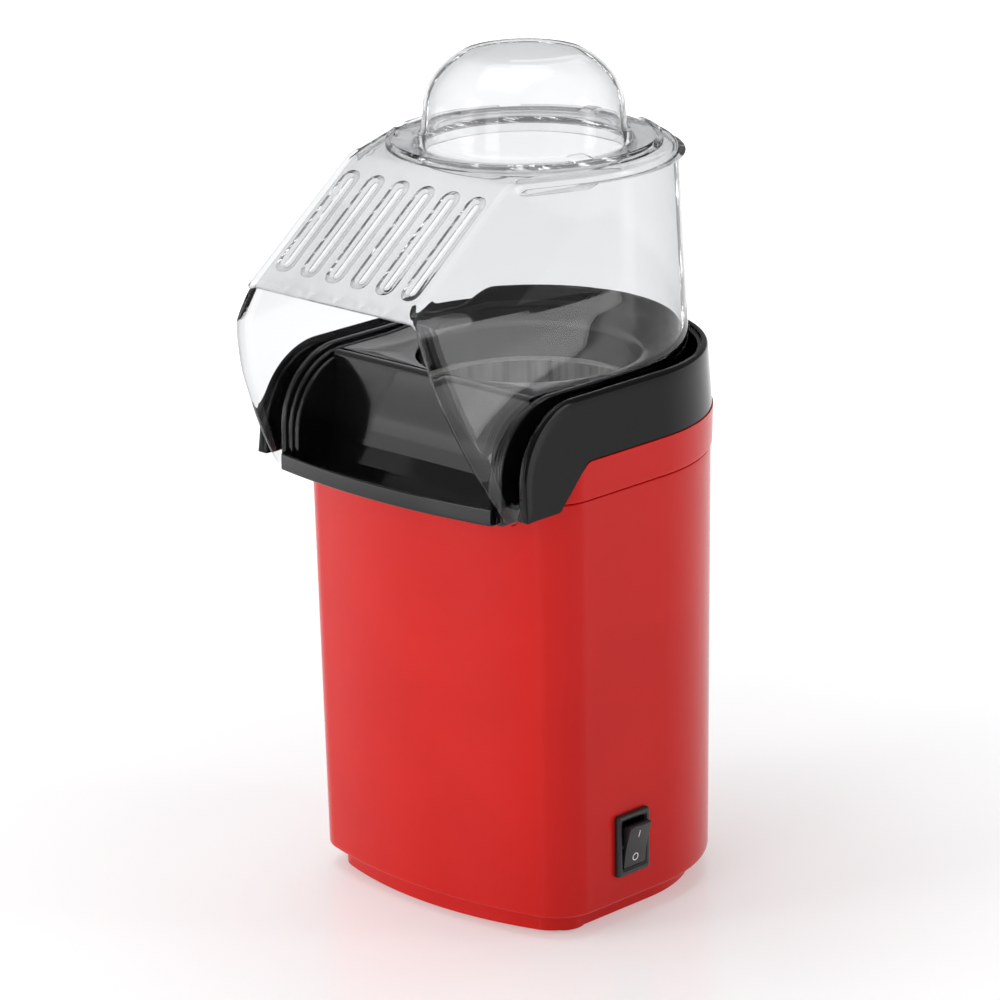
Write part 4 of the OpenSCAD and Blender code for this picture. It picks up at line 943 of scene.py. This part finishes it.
# bezel: rounded rectangles one after the other, (half width, half height, x, corner); over
# the rounded face, down the hole, across behind and out again round the back
bezelProfile = [(0.0, 0.0, 0.9), (0.0, 1.1, 0.9), (0.12, 1.55, 0.9), (0.45, 1.88, 0.8),
    (0.9, 1.98, 0.7), (1.35, 1.98, 0.6), (1.62, 1.9, 0.5), (1.8, 1.6, 0.5)]
bezelFrames = [(switch["bezel"][0] - inset, switch["bezel"][1] - inset, x, r)
    for inset, x, r in bezelProfile]
depth, back = switch["depth"], switch["back"]
for halfY, halfZ, x in ((*switch["hole"], 1.3), (*switch["hole"], -8.0), (0.02, 0.02, -8.0),
        (0.02, 0.02, -depth), (6.3, 9.3, -depth), (*back, 0.2 - depth),
        (*back, 0.0)):
    bezelFrames.append((halfY, halfZ, x, min(0.45, halfY * 0.5)))
bezelLoops = []
for halfY, halfZ, x, r in bezelFrames:
    loop = roundedFrame(halfY, halfZ, r)
    bezelLoops.append(column_stack([np.full(len(loop), x), loop]))
switchBezel = buildPiece("switchBezel", [(switchPlace(stack(bezelLoops)), True, True)],
    "root", blackSatin, ["switch_frame"], 40)

# rocker: one closed side section carried across in y, drawn in a little at both ends
halfY, halfZ = switch["rocker"]
rockerSection = roundPath([(-2.2, -2.4), (-0.6, -halfZ + 0.7), (1.5, -halfZ + 0.05),
    (2.45, -halfZ + 0.35), (1.85, 0), (2.45, halfZ - 0.35),
    (1.5, halfZ - 0.05), (-0.6, halfZ - 0.7), (-2.2, 2.4)],
    [0.6, 0.8, 0.3, 0.35, 5.0, 0.35, 0.3, 0.8, 0.6], 7, closed=True)
middle = rockerSection.mean(0)
rockerEnd = [(0.02, halfY), (0.93, halfY), (0.975, halfY - 0.06), (1.0, halfY - 0.3)]
rockerRows = []
for shrink, y in [(shrink, -y) for shrink, y in rockerEnd] + rockerEnd[::-1]:
    ringYz = middle + (rockerSection - middle) * shrink
    rockerRows.append(column_stack([ringYz[:, 0], np.full(len(ringYz), y), ringYz[:, 1]]))
rockerGrid = switchPlace(stack(rockerRows), switch["tilt"])
rockerCap = buildPiece("rockerCap", [(rockerGrid, False, True)], "rocker", rockerBlack,
    ["rocker"], 35)


def faceX(z):
    # the rocker's outer face: two shallow slopes that meet in a soft hollow
    face = rockerSection[rockerSection[:, 0] > 1.2]
    face = face[np.argsort(face[:, 1])]
    return np.interp(z, face[:, 1], face[:, 0])


def markPiece(name, rows):
    # a thin printed mark of flat loops, (loop, lift): x = the rocker's face + lift
    rows = [column_stack([faceX(loop[:, 1]) + lift, loop]) for loop, lift in rows]
    grid = switchPlace(stack(rows), switch["tilt"])
    return buildPiece(name, [(grid, True, True)], "rocker", printWhite, (), 30)


below, above = switch["markLow"], switch["markHigh"]
markTurn = linspace(0, 2 * pi, 49)[:-1]
circle = column_stack([np.cos(markTurn), np.sin(markTurn)])
wideRing, thinRing = circle * 1.35 + [0, -4.3], circle * 1.0 + [0, -4.3]
offMark = markPiece("offMark", [(wideRing, below), (wideRing, above), (thinRing, above),
    (thinRing, below)])
bar = roundedFrame(0.17, 1.3, 0.16, 6) + [0, 4.3]
barMiddle = (bar - [0, 4.3]) * 0.02 + [0, 4.3]
onMark = markPiece("onMark", [(barMiddle, below), (bar, below), (bar, above),
    (barMiddle, above)])
print("switch done")

# stage: floor, lights, world, camera
look = {"azimuth": 0.7716951842, "tilt": 0.3016791721, "roll": 0.0189093923,
    "distance": 1628.2912, "u0": 529.35097, "v0": 433.52777, "middle": 500,
    "focal": 5000.0, "aimZ": 150.0, "lens": 180.0, "sensor": 36.0}
floorMesh = bpy.data.meshes.new("floor")
floorMesh.from_pydata([(-6, -6, 0), (6, -6, 0), (6, 6, 0), (-6, 6, 0)], [], [(0, 1, 2, 3)])
floor = bpy.data.objects.new("floor", floorMesh)
bpy.context.scene.collection.objects.link(floor)
floorPaint, nodes, links, shader, where = newMaterial("floorPaint")
setInputs(shader, {"Base Color": (0.72, 0.725, 0.73, 1), "Roughness": 0.22,
    "Specular IOR Level": 0.35, "Emission Color": (1, 1, 1, 1)})
# the paper glows more with distance, so that it fades to white all round
away = nodes.new("ShaderNodeVectorMath")
away.operation = "LENGTH"
links.new(where, away.inputs[0])
glow = remap(nodes, links, away.outputs["Value"], 0.34, 0.80, 0.12, 0.68)
links.new(glow, shader.inputs["Emission Strength"])
floor.data.materials.append(floorPaint)

a, tilt, roll = look["azimuth"], look["tilt"], look["roll"]
forward3 = Vector((-sin(a) * cos(tilt), cos(a) * cos(tilt), -sin(tilt)))
flatRight = Vector((cos(a), sin(a), 0))
flatDown = forward3.cross(flatRight)
right3 = cos(roll) * flatRight + sin(roll) * flatDown
down3 = -sin(roll) * flatRight + cos(roll) * flatDown
aim = Vector((0, axisY, look["aimZ"] * mm))
distance = look["distance"] * mm
rightShift = (look["u0"] - look["middle"]) / look["focal"] * distance
downShift = (look["v0"] - look["middle"]) / look["focal"] * distance
eye = aim - (rightShift * right3 + downShift * down3 + distance * forward3)
cameraData = bpy.data.cameras.new("camera")
cameraData.lens, cameraData.sensor_width = look["lens"], look["sensor"]
cameraData.clip_start, cameraData.clip_end = 0.05, 30
camera = bpy.data.objects.new("camera", cameraData)
bpy.context.scene.collection.objects.link(camera)
turnMatrix = Matrix((right3, -down3, -forward3)).transposed().to_4x4()
camera.matrix_world = Matrix.Translation(eye) @ turnMatrix
bpy.context.scene.camera = camera


def addLight(name, place, target, size, power, sizeY=None, colour=(1, 1, 1)):
    lamp = bpy.data.lights.new(name, "AREA")
    lamp.shape, lamp.size, lamp.size_y = "RECTANGLE", size, sizeY or size
    lamp.energy, lamp.color = power, colour
    lampObject = bpy.data.objects.new(name, lamp)
    bpy.context.scene.collection.objects.link(lampObject)
    lampObject.location = place
    lampObject.rotation_euler = (Vector(target) - Vector(place)).to_track_quat("-Z", "Y").to_euler()
    return lampObject


def onStage(rightward, nearer, up):
    # a place given from the camera's side: metres to its right, toward it, and up
    side = Vector((flatRight.x, flatRight.y, 0)) * rightward
    near = -Vector((forward3.x, forward3.y, 0)).normalized() * nearer
    return Vector((0, axisY, 0)) + side + near + Vector((0, 0, up))


centre = (0, axisY, 0.13)
addLight("topBox", onStage(-0.2, -0.15, 1.5), centre, 1.2, 9, 1.0)
addLight("leftBox", onStage(-1.3, 0.5, 0.7), centre, 0.4, 4.2, 1.1)
addLight("rightBox", onStage(1.3, 0.25, 0.5), centre, 0.3, 3.8, 1.0)
addLight("cornerStrip", onStage(-0.75, 1.0, 0.4), centre, 0.35, 2.6, 0.8)
addLight("frontGlow", onStage(-1.0, 0.05, 0.1), (0, axisY - 0.05, 0.165), 1.2, 3.6, 0.5)
addLight("rearBox", onStage(0.35, -1.5, 1.1), centre, 0.8, 1.3, 0.4)
# a white backdrop that lights the piece only softly: bright to the eye and through the clear
# plastic, grey and darker toward the horizon in reflections
world = bpy.data.worlds.new("studio")
world.use_nodes = True
nodes, links = world.node_tree.nodes, world.node_tree.links
path = nodes.new("ShaderNodeLightPath")
seen = nodes.new("ShaderNodeMath")
seen.operation = "MAXIMUM"
links.new(path.outputs["Is Camera Ray"], seen.inputs[0])
links.new(path.outputs["Is Transmission Ray"], seen.inputs[1])
direction = nodes.new("ShaderNodeTexCoord")
split = nodes.new("ShaderNodeSeparateXYZ")
links.new(direction.outputs["Generated"], split.inputs["Vector"])
rise = remap(nodes, links, split.outputs["Z"], 0.26, 0.42, 0.05, 0.8)
blend = nodes.new("ShaderNodeMix")
blend.data_type = "FLOAT"
links.new(seen.outputs["Value"], blend.inputs["Factor"])
links.new(rise, blend.inputs["A"])
blend.inputs["B"].default_value = 1.0
links.new(blend.outputs["Result"], nodes["Background"].inputs["Strength"])
nodes["Background"].inputs["Color"].default_value = (0.97, 0.975, 0.98, 1)
bpy.context.scene.world = world
bpy.context.scene.view_settings.view_transform = "Standard"
bpy.context.scene.view_settings.exposure = 0.0
print("stage done")
